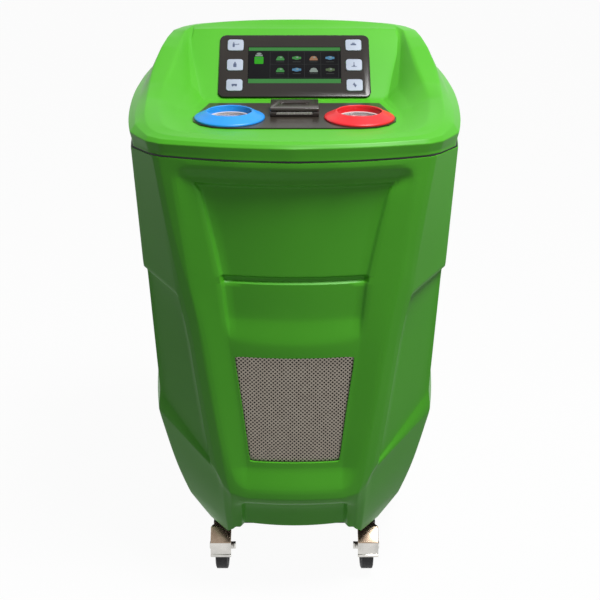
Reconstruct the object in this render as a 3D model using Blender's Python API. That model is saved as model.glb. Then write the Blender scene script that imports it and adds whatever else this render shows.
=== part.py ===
# Automotive air-conditioning service station on casters, metres, Z up, front at -Y.
# A tall moulded hull on a sheet-steel chassis, with a scooped head cover that
# carries the display, keys, printer and the two pressure gauges.

import math

import bmesh
import bpy
from mathutils import Matrix, Vector
from mathutils.bvhtree import BVHTree

MM = 0.001
CLEAR = 0.3 * MM

# Hull
HALF_DEPTH = 0.270
BOW_RADIUS = 0.62
HULL_TOP = 0.8695
HULL_WALL = 0.004
CORNER_Y = 0.095 - HALF_DEPTH
FLANK_DEPTH = 0.012
PANEL_DEPTH = 0.020
POCKET_DEPTH = 0.007
TOE_DEPTH = 0.013

# Head cover
SEAM_GAP = 0.0035
HEAD_BASE = HULL_TOP + SEAM_GAP
HEAD_WALL = 0.004
HEAD_COLLAR = 0.0045
DECK_Z = 0.902
PANEL_BASE_Y = 0.014
PANEL_TILT = math.radians(38.0)

# Deck furniture
PLATE_THICK = 0.002
RING_X = 0.1085
RING_Y = -0.123
RING_OUTER = 0.059
RING_INNER = 0.0370
RING_HEIGHT = 0.0125
GAUGE_RADIUS = 0.0345
GAUGE_DEPTH = 0.034
DIAL_DROP = 0.009
PRINTER_HALF_X = 0.041
PRINTER_FRONT_Y = -0.1165
PRINTER_BACK_Y = -0.0520
PRINTER_TOP = 0.9195
LID_THICK = 0.006

# Control panel
BEZEL_HALF_X = 0.1375
BEZEL_LOW = 0.004
BEZEL_HIGH = 0.148
BEZEL_THICK = 0.004
SCREEN_HALF_X = 0.0845
SCREEN_LOW = 0.0350
SCREEN_HIGH = 0.1190
KEY_X = 0.1085
KEY_ROWS = (0.1230, 0.0763, 0.0297)
KEY_WIDE = 0.030
KEY_TALL = 0.027
KEY_PROUD = 0.0018

# Chassis and running gear
TRAY_Z = 0.1275
TRAY_THICK = 0.003
CASTER_PAD = 0.004
CASTER_X = 0.1425
CASTER_Y = 0.155 - HALF_DEPTH
CASTER_TRAIL = 0.030
CASTER_RADIUS = 0.045
CASTER_WIDTH = 0.024
REAR_WHEEL_X = 0.210
REAR_WHEEL_Y = HALF_DEPTH - 0.120
REAR_WHEEL_RADIUS = 0.090
REAR_WHEEL_WIDTH = 0.038
AXLE_RADIUS = 0.008
UPRIGHT_X = 0.2040
UPRIGHT_Y = REAR_WHEEL_Y - 0.122
UPRIGHT_HALF_X = 0.0135
UPRIGHT_HALF_Y = 0.016
CARRIER_Z = HULL_TOP - 0.0245
SPLIT_Y = REAR_WHEEL_Y - 0.100
TRAY_FRONT_Y = 0.085 - HALF_DEPTH
TRAY_NOTCH_Y = REAR_WHEEL_Y - REAR_WHEEL_RADIUS - 0.012
TRAY_REAR_Y = HALF_DEPTH - HULL_WALL - 0.0005

# Inner units
TANK_RADIUS = 0.112
TANK_X = TANK_RADIUS - (UPRIGHT_X - UPRIGHT_HALF_X - 0.0035)
TANK_Y = 0.077
TANK_BASE = 0.170
TANK_HEIGHT = 0.380
TANK_WALL = 0.003
SHELF_Z = TANK_BASE + TANK_HEIGHT + 0.050
SHELF_THICK = 0.002
PUMP_LOW_X = TANK_X + TANK_RADIUS + 0.004
PUMP_WIDE = 0.100
PUMP_LONG = 0.140
PUMP_REAR_Y = HALF_DEPTH - HULL_WALL - CLEAR - 0.031
COMPRESSOR_X = 1.12 * TANK_RADIUS - 0.0262
COMPRESSOR_Y = PUMP_REAR_Y - PUMP_LONG - 0.115
FAN_Z = 0.405
FAN_RADIUS = 0.088
SHROUD_Y = 0.0875 - HALF_DEPTH


def clear_scene():
    for item in list(bpy.data.objects):
        bpy.data.objects.remove(item, do_unlink=True)


def paint(name, colour, roughness, metallic=0.0):
    made = bpy.data.materials.new(name)
    made.use_nodes = True
    shader = made.node_tree.nodes["Principled BSDF"]
    shader.inputs["Base Color"].default_value = (*colour, 1.0)
    shader.inputs["Roughness"].default_value = roughness
    shader.inputs["Metallic"].default_value = metallic
    made.diffuse_color = (*colour, 1.0)
    return made


def node_from(bm, name, colour, roughness, metallic=0.0, angle=35.0):
    bmesh.ops.remove_doubles(bm, verts=bm.verts, dist=1e-6)
    bmesh.ops.recalc_face_normals(bm, faces=bm.faces)
    mesh = bpy.data.meshes.new(name)
    bm.to_mesh(mesh)
    bm.free()
    mesh.shade_smooth()
    mesh.set_sharp_from_angle(angle=math.radians(angle))
    made = bpy.data.objects.new(name, mesh)
    bpy.context.collection.objects.link(made)
    mesh.materials.append(paint(name + "_paint", colour, roughness, metallic))
    return made


def shift_origin(node, point):
    place = Vector(point)
    node.data.transform(Matrix.Translation(-place))
    node.location = place


def helper_from(bm, name):
    made = node_from(bm, name, (0.5, 0.5, 0.5), 0.5)
    made.hide_render = True
    made.display_type = "WIRE"
    return made


def boolean(node, helper, operation="DIFFERENCE"):
    step = node.modifiers.new(helper.name, "BOOLEAN")
    step.object = helper
    step.operation = operation
    step.solver = "EXACT"


def solidify(node, thickness):
    wall = node.modifiers.new("wall", "SOLIDIFY")
    wall.thickness = thickness
    wall.offset = -1.0
    wall.use_even_offset = True


def bevel(node, width, segments=2, angle=40.0):
    edge = node.modifiers.new("edge", "BEVEL")
    edge.width = width
    edge.segments = segments
    edge.limit_method = "ANGLE"
    edge.angle_limit = math.radians(angle)
    edge.harden_normals = False


def box(low, high):
    bm = bmesh.new()
    bmesh.ops.create_cube(bm, size=1.0)
    size = Vector(high) - Vector(low)
    middle = (Vector(high) + Vector(low)) / 2.0
    bmesh.ops.scale(bm, vec=size, verts=bm.verts)
    bmesh.ops.translate(bm, vec=middle, verts=bm.verts)
    return bm


def prism(outline, low, high):
    bm = bmesh.new()
    ring = [bm.verts.new((x, y, low)) for x, y in outline]
    bottom = bm.faces.new(ring)
    grown = bmesh.ops.extrude_face_region(bm, geom=[bottom])
    top = [item for item in grown["geom"] if isinstance(item, bmesh.types.BMVert)]
    bmesh.ops.translate(bm, vec=(0.0, 0.0, high - low), verts=top)
    return bm


def revolve(profile, steps, closed=False):
    bm = bmesh.new()
    line = [bm.verts.new((radius, 0.0, height)) for radius, height in profile]
    pairs = list(zip(line, line[1:]))
    if closed:
        pairs.append((line[-1], line[0]))
    edges = [bm.edges.new(pair) for pair in pairs]
    bmesh.ops.spin(
        bm,
        geom=line + edges,
        axis=(0.0, 0.0, 1.0),
        cent=(0.0, 0.0, 0.0),
        angle=2.0 * math.pi,
        steps=steps,
        use_merge=True,
    )
    bmesh.ops.remove_doubles(bm, verts=bm.verts, dist=1e-6)
    return bm


def cylinder(radius, low, high, steps=32, chamfer=0.0):
    cut = max(chamfer, 0.0)
    profile = [(0.0, low)]
    if cut > 0.0:
        profile += [(radius - cut, low), (radius, low + cut)]
        profile += [(radius, high - cut), (radius - cut, high)]
    else:
        profile += [(radius, low), (radius, high)]
    profile += [(0.0, high)]
    return revolve(profile, steps)


def placed(bm, point=(0.0, 0.0, 0.0), turn=None):
    if turn is not None:
        bmesh.ops.transform(bm, matrix=turn.to_4x4(), verts=bm.verts)
    bmesh.ops.translate(bm, vec=point, verts=bm.verts)
    return bm


def merged(parts):
    # Several loose solids in one mesh, used only as one helper of a Boolean.
    joined = bmesh.new()
    for part in parts:
        scrap = bpy.data.meshes.new("scrap")
        part.to_mesh(scrap)
        part.free()
        joined.from_mesh(scrap)
        bpy.data.meshes.remove(scrap)
    return joined


def rounded(half_x, half_y, radius, steps=4):
    outline = []
    corners = ((1, 1, 0), (-1, 1, 90), (-1, -1, 180), (1, -1, 270))
    for side_x, side_y, start in corners:
        middle_x = side_x * (half_x - radius)
        middle_y = side_y * (half_y - radius)
        for step in range(steps + 1):
            turn = math.radians(start + 90.0 * step / steps)
            outline.append((middle_x + radius * math.cos(turn), middle_y + radius * math.sin(turn)))
    return outline


def along(table, value):
    # Straight interpolation in a list of (key, value) pairs sorted by falling key.
    for (key_a, out_a), (key_b, out_b) in zip(table, table[1:]):
        if value >= key_b:
            share = (key_a - value) / (key_a - key_b)
            return out_a + (out_b - out_a) * max(0.0, share)
    return table[-1][1]


def mix(low, high, share):
    return low + (high - low) * share


def bow(x):
    return -HALF_DEPTH + x * x / (2.0 * BOW_RADIUS)


X_AXIS_TURN = Matrix.Rotation(math.radians(90.0), 3, "Y")
Y_AXIS_TURN = Matrix.Rotation(math.radians(-90.0), 3, "X")


# Half widths of the hull's edges by height.
FOLD_X = ((0.8695, 0.2247), (0.715, 0.202), (0.659, 0.186), (0.601, 0.1735), (0.468, 0.157),
          (0.377, 0.144), (0.275, 0.130), (0.245, 0.122), (0.137, 0.122))
SIDE_X = ((0.8695, 0.2690), (0.673, 0.261), (0.371, 0.2485), (0.290, 0.230), (0.207, 0.208),
          (0.134, 0.160))
REAR_X = ((0.8695, 0.2845), (0.673, 0.279), (0.371, 0.272), (0.290, 0.264), (0.190, 0.252),
          (0.118, 0.242))
FLANK_OUT = ((0.8695, 0.193), (0.830, 0.193), (0.680, 0.1746), (0.554, 0.1521), (0.3585, 0.1284),
             (0.276, 0.1126), (0.245, 0.108), (0.163, 0.106))
FLANK_IN = ((0.8695, 0.176), (0.8368, 0.168), (0.806, 0.150), (0.659, 0.123), (0.560, 0.1150),
            (0.521, 0.1100), (0.416, 0.097), (0.311, 0.0865), (0.240, 0.086), (0.218, 0.097),
            (0.163, 0.099))

# Height at the middle, front fold, pocket edge and side corner; then how deep the
# inner panel, the flank and the side pocket lie, and how far the row stands back.
FRONT_ROWS = (
    (0.8695, 0.8695, 0.8695, 0.8695, 0.00, 0.00, 0.00, 0.000),
    (0.8615, 0.8615, 0.8615, 0.8615, 0.00, 0.00, 0.00, 0.000),
    (0.8545, 0.8545, 0.8545, 0.8545, 0.08, 0.10, 0.00, 0.000),
    (0.8380, 0.8380, 0.8380, 0.8380, 0.58, 0.95, 0.00, 0.000),
    (0.8300, 0.8300, 0.8300, 0.8300, 0.62, 1.00, 0.00, 0.000),
    (0.8230, 0.8230, 0.8230, 0.8230, 0.97, 1.00, 0.00, 0.000),
    (0.8120, 0.8120, 0.8120, 0.8120, 1.00, 1.00, 0.00, 0.000),
    (0.7450, 0.7450, 0.7450, 0.7450, 1.00, 1.00, 0.00, 0.000),
    (0.6740, 0.6720, 0.6480, 0.6750, 1.00, 1.00, 0.00, 0.000),
    (0.6690, 0.6660, 0.6350, 0.6640, 1.00, 1.00, 0.00, 0.000),
    (0.6650, 0.6600, 0.6280, 0.6580, 1.25, 1.00, 0.10, 0.000),
    (0.6580, 0.6540, 0.6220, 0.6520, 1.25, 1.00, 0.95, 0.000),
    (0.6546, 0.6480, 0.6160, 0.6460, 1.00, 1.00, 1.00, 0.000),
    (0.6250, 0.6200, 0.5950, 0.6200, 1.00, 1.00, 1.00, 0.000),
    (0.5930, 0.5930, 0.5700, 0.5900, 1.00, 1.00, 1.00, 0.000),
    (0.5830, 0.5830, 0.5600, 0.5800, 0.95, 1.00, 1.00, 0.000),
    (0.5500, 0.5500, 0.5400, 0.5600, 0.64, 1.00, 1.00, 0.000),
    (0.5420, 0.5420, 0.5300, 0.5500, 0.60, 1.00, 1.00, 0.000),
    (0.5205, 0.5200, 0.5100, 0.5350, 0.60, 1.00, 1.00, 0.000),
    (0.4450, 0.4450, 0.4350, 0.4900, 0.60, 1.00, 1.00, 0.000),
    (0.3700, 0.3700, 0.3600, 0.4500, 0.60, 1.00, 1.00, 0.000),
    (0.3105, 0.3130, 0.3100, 0.4240, 0.60, 1.00, 1.00, 0.000),
    (0.2970, 0.3000, 0.3000, 0.4120, 0.57, 0.95, 0.90, 0.000),
    (0.2600, 0.2720, 0.2930, 0.3860, 0.05, 0.08, 0.20, 0.000),
    (0.2520, 0.2600, 0.2890, 0.3740, 0.00, 0.00, 0.00, 0.000),
    (0.2390, 0.2490, 0.2830, 0.3660, 0.00, 0.00, 0.00, 0.000),
    (0.2290, 0.2380, 0.2680, 0.3450, 0.03, 0.00, 0.00, 0.003),
    (0.2225, 0.2230, 0.2400, 0.2950, 0.10, 0.00, 0.00, 0.007),
    (0.2170, 0.2000, 0.2080, 0.2450, 0.62, 0.00, 0.00, 0.013),
    (0.1950, 0.1700, 0.1740, 0.1920, 0.65, 0.00, 0.00, 0.021),
    (0.1630, 0.1390, 0.1370, 0.1340, 0.65, 0.00, 0.00, 0.030),
)
GRILLE_TOP_ROW = 18
GRILLE_LOW_ROW = 21
# Share of the way from the front fold to the side corner.
FOLD_SHARES = (0.07, 0.15, 0.20, 0.55, 0.90)
# Depth and side share (front corner to split line) of the side wall columns.
SIDE_STEPS = (
    (CORNER_Y + 0.012, 1.0), (mix(CORNER_Y, SPLIT_Y, 0.29), 1.0), (mix(CORNER_Y, SPLIT_Y, 0.60), 1.0),
    (SPLIT_Y - 0.028, 1.0), (SPLIT_Y - 0.018, 0.0), (SPLIT_Y - 0.010, 0.0),
)


def lip_lift(row_z, x, edge):
    # The scooped end of the inner panel rises toward its corners.
    strength = max(0.0, 1.0 - abs(row_z - 0.560) / 0.040)
    return 0.012 * strength * min(1.0, x / edge) ** 3


def front_row(row):
    z_mid, z_fold, z_pocket, z_side, inner, flank, pocket, back = row
    edge = along(FLANK_IN, z_mid)
    outer = along(FLANK_OUT, z_mid)
    fold = along(FOLD_X, z_fold)
    fold = max(fold, outer + 0.012)
    side = along(SIDE_X, z_side)
    rear = along(REAR_X, z_side)
    rear_z = mix(z_side, z_side - 0.016, min(1.0, max(0.0, (0.2 - z_side) / 0.066)))
    points = []
    toe = back > 0.0
    floor = PANEL_DEPTH * inner if not toe else TOE_DEPTH * inner / 0.65
    step = FLANK_DEPTH * flank
    for share, depth in ((0.0, floor), (0.5, floor), (1.0, floor)):
        x = share * (edge - 0.006)
        points.append((x, bow(x) + back + depth, z_mid + lip_lift(z_mid, x, edge)))
    toe_step = 0.0 if toe else step
    points.append((edge, bow(edge) + back + toe_step, z_mid + lip_lift(z_mid, edge, edge)))
    for x, depth in ((outer - 0.004, 0.12 * step), (outer + 0.004, 0.0), (fold - 0.007, 0.0)):
        share = (x - edge) / (fold - edge)
        points.append((x, bow(x) + back + depth, mix(z_mid, z_fold, share)))
    fold_y = bow(fold) + back
    slope = Vector((CORNER_Y - fold_y, -(side - fold), 0.0)).normalized()
    for share in FOLD_SHARES:
        x = mix(fold, side, share)
        y = mix(fold_y, CORNER_Y, share)
        if share <= FOLD_SHARES[1]:
            z = mix(z_fold, z_pocket, share / FOLD_SHARES[1])
            depth = 0.0
        else:
            z = mix(z_pocket, z_side, (share - FOLD_SHARES[1]) / (1.0 - FOLD_SHARES[1]))
            depth = POCKET_DEPTH * pocket
        points.append((x - slope.x * depth, y - slope.y * depth, z))
    depth = POCKET_DEPTH * pocket
    points.append((side - 0.8 * depth, CORNER_Y + 0.4 * depth, z_side))
    for y, inset in SIDE_STEPS:
        share = (y - CORNER_Y) / (SIDE_STEPS[-1][0] - CORNER_Y)
        x = mix(side, rear, share) + 0.004 * math.sin(math.pi * share)
        z = mix(z_side, rear_z, share)
        points.append((x - inset * depth, y, z))
    points.append((rear, SPLIT_Y, rear_z))
    return points


def mirrored_grid(rows, skip):
    # Rows of right-half points, the first on the mid plane; the left half is mirrored.
    bm = bmesh.new()
    grid = []
    for row in rows:
        right = [bm.verts.new(point) for point in row]
        left = [bm.verts.new((-point[0], point[1], point[2])) for point in row[1:]]
        grid.append(list(reversed(left)) + right)
    middle = len(rows[0]) - 1
    for low in range(len(grid) - 1):
        for left in range(len(grid[0]) - 1):
            column = left - middle if left >= middle else middle - 1 - left
            if skip(low, column):
                continue
            corners = (grid[low][left], grid[low + 1][left])
            corners += (grid[low + 1][left + 1], grid[low][left + 1])
            bm.faces.new(corners)
    return bm


def make_front_shell():
    rows = [front_row(row) for row in FRONT_ROWS]
    bm = mirrored_grid(
        rows, lambda low, column: GRILLE_TOP_ROW <= low < GRILLE_LOW_ROW and column < 2
    )
    node = node_from(bm, "front_shell", (0.07, 0.33, 0.03), 0.38, angle=50.0)
    solidify(node, HULL_WALL)
    return node


REAR_CORNER = 0.065
REAR_HEIGHTS = (0.8695, 0.860, 0.795, 0.673, 0.520, 0.371, 0.290, 0.190, 0.150, 0.118)
BACK_HALF_X = 0.170
BACK_TOP_ROW = 2
BACK_LOW_ROW = 7


def rear_row(z):
    side = along(REAR_X, z)
    wide = max(side, 0.2540)
    row = [(0.0, HALF_DEPTH, z), (BACK_HALF_X / 2.0, HALF_DEPTH, z), (BACK_HALF_X, HALF_DEPTH, z)]
    for degrees in (90.0, 68.0, 45.0, 22.0, 0.0):
        turn = math.radians(degrees)
        x = wide - REAR_CORNER + REAR_CORNER * math.cos(turn)
        y = HALF_DEPTH - REAR_CORNER + REAR_CORNER * math.sin(turn)
        row.append((x, y, z))
    row.append((wide, REAR_WHEEL_Y - 0.010, z))
    row.append((mix(side, wide, 0.7), SPLIT_Y + 0.045, z))
    row.append((side, SPLIT_Y + 0.010, z))
    row.append((side, SPLIT_Y + CLEAR, z))
    return row


def make_rear_shell():
    rows = [rear_row(z) for z in REAR_HEIGHTS]
    bm = mirrored_grid(rows, lambda low, column: BACK_TOP_ROW <= low < BACK_LOW_ROW and column < 2)
    node = node_from(bm, "rear_shell", (0.07, 0.33, 0.03), 0.38, angle=50.0)
    solidify(node, HULL_WALL)
    return node


# Head cover stations in millimetres, from the front middle round to the rear middle:
# seam x y, shoulder x y z, waist x y z, rim x y z, ridge x y z, foot x y z.
# Their depths are stretched when the hull's half depth differs from the first station's.
HEAD_STATIONS = (
    (0, -270, 0, -271, 893, 0, -267, 898.5, 0, -258, 901.5, 0, -236, 902.3, 0, -205, 902),
    (80, -265, 81, -266, 893, 79, -262, 898.5, 77, -253, 901.5, 70, -233, 902.3, 60, -204, 902),
    (150, -252, 152, -253, 893, 149, -249, 898.5, 144, -241, 901.7, 130, -224, 902.6, 105, -201, 902),
    (212, -234, 215, -235, 892, 211, -231, 898.5, 203, -223, 902.2, 177, -211, 904, 140, -197, 902),
    (234, -219, 238, -219, 892, 235, -214, 899, 222, -209, 903.5, 198, -202, 906, 154, -193, 902),
    (250, -199, 255, -197, 893, 250, -189, 902, 237, -189, 907, 212, -189, 909, 164, -185, 902),
    (264, -181, 269, -176, 895, 261, -165, 906, 245, -162, 912.5, 219, -162, 913, 171, -165, 902),
    (271, -145, 277, -138, 900, 267, -125, 911, 250, -122, 920, 226, -118, 918, 175, -125, 902),
    (278, -80, 284, -78, 905, 270, -74, 917, 252, -74, 928, 231, -68, 924, 174, -76, 902),
    (282, -20, 287, -20, 911, 271, -24, 922, 254, -22, 940, 226, -14, 943, 166, -26, 902),
    (284, 30, 288, 28, 914, 271, 20, 925, 253, 18, 955, 219, 18, 957, 159, 11.5, 902),
    (285, 65, 288, 62, 915, 271, 58, 927, 248, 48, 970, 214, 46, 969, 161, 16.4, 903.85),
    (285, 105, 287, 102, 916, 270, 98, 929, 241, 82, 986, 210, 76, 982, 173, 57, 935.6),
    (284.5, 150, 286, 148, 917, 268, 142, 932, 234, 118, 996, 206, 108, 993, 186, 96, 966.1),
    (284, 207, 282, 202, 918, 262, 186, 938, 227, 158, 1001, 203, 137, 1003.5, 190, 128, 991.1),
    (269, 248, 266, 240, 922, 246, 218, 946, 212, 190, 1002, 189, 166, 1008, 188, 145, 1004.4),
    (243.8, 265.3, 241, 259, 926, 222, 238, 956, 190, 213, 1002.5, 168, 175, 1010, 166, 146, 1005.1),
    (205, 270, 203, 264, 929, 184, 248, 964, 160, 225, 1003, 140, 179, 1012, 136, 146, 1005.1),
    (140, 270, 139, 265, 931, 130, 252, 968, 114, 229, 1003, 100, 180, 1014.5, 96, 146, 1005.1),
    (70, 270, 70, 265, 932, 66, 253, 970, 58, 230, 1003.5, 50, 180, 1016, 48, 146, 1005.1),
    (0, 270, 0, 265, 932, 0, 253, 970, 0, 230, 1003.5, 0, 180, 1016.5, 0, 146, 1005.1),
)
HEAD_FRONT_CORNER = 5
HEAD_REAR_CORNER = 15
# Middle line of the inner floor between the two corners: y on the deck, then up the panel.
DECK_ROWS = (-0.192, -0.176, -0.046, -0.024, 0.0115)
PANEL_ROWS = (0.0030, 0.026, 0.132, 0.151)
# Columns of that floor as shares of its half width.
FLOOR_SHARES = (0.0, 0.25, 0.50, 0.75, 0.93)


def on_panel(x, rise, lift=0.0):
    y = PANEL_BASE_Y + rise * math.cos(PANEL_TILT) - lift * math.sin(PANEL_TILT)
    z = DECK_Z + rise * math.sin(PANEL_TILT) + lift * math.cos(PANEL_TILT)
    return (x, y, z)


def head_levels(station):
    values = [value * MM for value in station]
    seam = Vector((values[0], values[1], HEAD_BASE))
    shoulder = Vector(values[2:5])
    waist = Vector(values[5:8])
    rim = Vector(values[8:11])
    ridge = Vector(values[11:14])
    foot = Vector(values[14:17])
    stretch = -HALF_DEPTH / (HEAD_STATIONS[0][1] * MM) - 1.0
    for point in (seam, shoulder, waist, rim):
        point.y *= 1.0 + stretch
    ridge.y *= 1.0 + 0.75 * stretch
    foot.y *= 1.0 + (0.35 * stretch if foot.y < 0.0 else 0.0)
    hollow = ridge.lerp(foot, 0.52)
    hollow.z = mix(foot.z, ridge.z, 0.34)
    toe = ridge.lerp(foot, 0.86)
    toe.z = mix(foot.z, ridge.z, 0.055)
    collar = seam + Vector((0.0, 0.0, HEAD_COLLAR))
    outer = [seam, collar, collar.lerp(shoulder, 0.5), shoulder, waist, waist.lerp(rim, 0.5), rim]
    return outer + [ridge, hollow, toe, foot]


def make_head_cover():
    bm = bmesh.new()
    count = len(HEAD_STATIONS)
    loop = []
    for side in (1.0, -1.0):
        order = range(count) if side > 0.0 else range(count - 2, 0, -1)
        for index in order:
            levels = head_levels(HEAD_STATIONS[index])
            loop.append([bm.verts.new((side * point.x, point.y, point.z)) for point in levels])
    size = len(loop)
    for index in range(size):
        here = loop[index]
        there = loop[(index + 1) % size]
        for level in range(len(here) - 1):
            bm.faces.new((here[level], there[level], there[level + 1], here[level + 1]))
    columns = HEAD_FRONT_CORNER
    middles = [(y, DECK_Z) for y in DECK_ROWS] + [on_panel(0.0, rise)[1:] for rise in PANEL_ROWS]
    rows = [[loop[(size - step) % size][-1] for step in range(columns, 0, -1)]]
    rows[0] += [loop[step][-1] for step in range(columns + 1)]
    for offset, (y, z) in enumerate(middles):
        index = HEAD_FRONT_CORNER + 1 + offset
        right = loop[index][-1]
        left = loop[size - index][-1]
        row = [left]
        for share in [-share for share in reversed(FLOOR_SHARES[1:])] + list(FLOOR_SHARES):
            bend = abs(share) ** 3
            spot = (right.co.x * share, mix(y, right.co.y, bend), mix(z, right.co.z, bend))
            row.append(bm.verts.new(spot))
        row.append(right)
        rows.append(row)
    back = [loop[size - HEAD_REAR_CORNER - step][-1] for step in range(columns)]
    front = [loop[HEAD_REAR_CORNER + columns - step][-1] for step in range(columns + 1)]
    rows.append(back + front)
    for low, high in zip(rows, rows[1:]):
        for column in range(len(low) - 1):
            bm.faces.new((low[column], low[column + 1], high[column + 1], high[column]))
    node = node_from(bm, "head_cover", (0.09, 0.42, 0.05), 0.34, angle=50.0)
    solidify(node, HEAD_WALL)
    return node


def seam_outline(inset):
    # Closed plan outline of the hull's top edge, set in by the given width.
    front = front_row(FRONT_ROWS[0])
    right = [(x, y) for x, y, z in front]
    right += [(x, y) for x, y, z in reversed(rear_row(HULL_TOP)[:-1])]
    left = [(-x, y) for x, y in reversed(right[1:-1])]
    loop = [Vector(point) for point in right + left]
    moved = []
    for index, here in enumerate(loop):
        before = (here - loop[index - 1]).normalized()
        after = (loop[(index + 1) % len(loop)] - here).normalized()
        normal = Vector((-before.y - after.y, before.x + after.x)).normalized()
        reach = inset / max(0.5, normal.dot(Vector((-before.y, before.x))))
        moved.append(here + normal * reach)
    return moved


def make_seam_gasket():
    bm = bmesh.new()
    low = HULL_TOP + CLEAR
    high = HEAD_BASE - CLEAR
    rings = []
    for inset, z in ((0.0012, low), (0.0012, high), (0.0045, high), (0.0045, low)):
        rings.append([bm.verts.new((x, y, z)) for x, y in seam_outline(inset)])
    for ring, other in zip(rings, rings[1:] + rings[:1]):
        for index in range(len(ring)):
            following = (index + 1) % len(ring)
            bm.faces.new((ring[index], ring[following], other[following], other[index]))
    node_from(bm, "seam_gasket", (0.01, 0.012, 0.01), 0.8)


def panel_space(bm):
    turn = Matrix.Rotation(PANEL_TILT, 4, "X")
    place = Matrix.Translation((0.0, PANEL_BASE_Y, DECK_Z)) @ turn
    bmesh.ops.transform(bm, matrix=place, verts=bm.verts)
    return bm


def panel_slab(half_x, low, high, under, over, radius=0.0, middle_x=0.0):
    half_y = (high - low) / 2.0
    outline = [(half_x, half_y), (-half_x, half_y), (-half_x, -half_y), (half_x, -half_y)]
    if radius > 0.0:
        outline = rounded(half_x, half_y, radius, 3)
    moved = [(x + middle_x, y + (low + high) / 2.0) for x, y in outline]
    return panel_space(prism(moved, under, over))


def make_control_panel(head):
    middle = 4.0 * MM + CLEAR
    bezel = node_from(
        panel_slab(BEZEL_HALF_X, BEZEL_LOW, BEZEL_HIGH, CLEAR, middle, 0.010),
        "control_bezel", (0.055, 0.045, 0.042), 0.32,
    )
    window = helper_from(
        panel_slab(SCREEN_HALF_X + CLEAR, SCREEN_LOW - CLEAR, SCREEN_HIGH + CLEAR, -0.03, 0.02),
        "cut_screen_window",
    )
    boolean(bezel, window)
    boolean(head, window)
    node_from(
        panel_slab(SCREEN_HALF_X, SCREEN_LOW, SCREEN_HIGH, -0.022, middle - 0.9 * MM),
        "display_module", (0.01, 0.011, 0.013), 0.08,
    )
    holes = []
    number = 0
    for side in (-1.0, 1.0):
        for rise in KEY_ROWS:
            number += 1
            low = rise - KEY_TALL / 2.0
            high = rise + KEY_TALL / 2.0
            key = node_from(
                panel_slab(KEY_WIDE / 2.0, low, high, 1.5 * MM, middle + KEY_PROUD, 0.005, side * KEY_X),
                "key_" + str(number), (0.42, 0.47, 0.55), 0.45,
            )
            shift_origin(key, on_panel(side * KEY_X, rise))
            holes.append(
                panel_slab(
                    KEY_WIDE / 2.0 + CLEAR, low - CLEAR, high + CLEAR, 0.0, 0.02,
                    0.005 + CLEAR, side * KEY_X,
                )
            )
    boolean(bezel, helper_from(merged(holes), "cut_key_windows"))


PLATE_TOP = DECK_Z + CLEAR + PLATE_THICK


def plate_outline():
    right = [(0.150, -0.018)]
    for degrees in (24.0, 4.0, -18.0, -42.0, -66.0, -90.0):
        turn = math.radians(degrees)
        right.append((RING_X + 0.0625 * math.cos(turn), RING_Y + 0.0625 * math.sin(turn)))
    return right + [(-x, y) for x, y in reversed(right)]


def make_deck(head):
    plate = node_from(
        prism(plate_outline(), DECK_Z + CLEAR, PLATE_TOP), "deck_plate", (0.05, 0.042, 0.04), 0.25
    )
    parts = []
    for side in (-1.0, 1.0):
        hole = cylinder(GAUGE_RADIUS + CLEAR, DECK_Z - 0.03, DECK_Z + 0.02, 32)
        parts.append(placed(hole, (side * RING_X, RING_Y, 0.0)))
    low = (0.003 - PRINTER_HALF_X - CLEAR, PRINTER_FRONT_Y + 0.003 - CLEAR, DECK_Z - 0.03)
    high = (PRINTER_HALF_X - 0.003 + CLEAR, PRINTER_BACK_Y - 0.003 + CLEAR, DECK_Z + 0.02)
    parts.append(box(low, high))
    cut = helper_from(merged(parts), "cut_deck_openings")
    boolean(plate, cut)
    boolean(head, cut)
    seat = PLATE_TOP + CLEAR
    wall = RING_INNER
    ring_profile = (
        (wall, seat), (wall, seat + RING_HEIGHT - 0.0007), (wall + 0.0008, seat + RING_HEIGHT),
        (wall + 0.0024, seat + RING_HEIGHT), (RING_OUTER - 0.0014, seat + 0.0036),
        (RING_OUTER, seat + 0.0028), (RING_OUTER, seat),
    )
    top = seat + 0.0018
    dial_z = seat - DIAL_DROP
    low_z = seat - GAUGE_DEPTH
    rim = RING_INNER - CLEAR
    cup_profile = (
        (0.0, low_z), (GAUGE_RADIUS, low_z), (GAUGE_RADIUS, seat), (rim, seat), (rim, top),
        (GAUGE_RADIUS - 0.002, top), (GAUGE_RADIUS - 0.002, dial_z), (0.0, dial_z),
    )
    lens_radius = GAUGE_RADIUS - 0.002 - CLEAR
    colours = {"blue": (0.03, 0.24, 0.78), "red": (0.80, 0.02, 0.03)}
    for side, colour, tag in ((-1.0, "blue", "low"), (1.0, "red", "high")):
        place = (side * RING_X, RING_Y, 0.0)
        node_from(
            placed(revolve(ring_profile, 36, closed=True), place),
            "gauge_ring_" + colour, colours[colour], 0.4, angle=30.0,
        )
        node_from(
            placed(revolve(cup_profile, 28), place), "gauge_" + tag, (0.62, 0.60, 0.61), 0.5
        )
        lens = cylinder(lens_radius, top - 0.0025, top - 0.0007, 28)
        node_from(placed(lens, place), "gauge_lens_" + tag, (0.80, 0.78, 0.80), 0.05)
        outline = [(-0.0010, 0.026), (0.0, 0.029), (0.0010, 0.026)]
        outline = [(y, -x) for x, y in outline]
        for step in range(9):
            turn = math.radians(-75.0 - 210.0 * step / 8.0)
            outline.append((-0.0042 * math.sin(turn), 0.0042 * math.cos(turn)))
        needle = prism(outline, dial_z + CLEAR, dial_z + CLEAR + 0.0014)
        turn = Matrix.Rotation(math.radians(225.0), 3, "Z")
        node = node_from(placed(needle, place, turn), "gauge_needle_" + tag, (0.02, 0.02, 0.02), 0.4)
        shift_origin(node, (place[0], place[1], dial_z))


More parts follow.
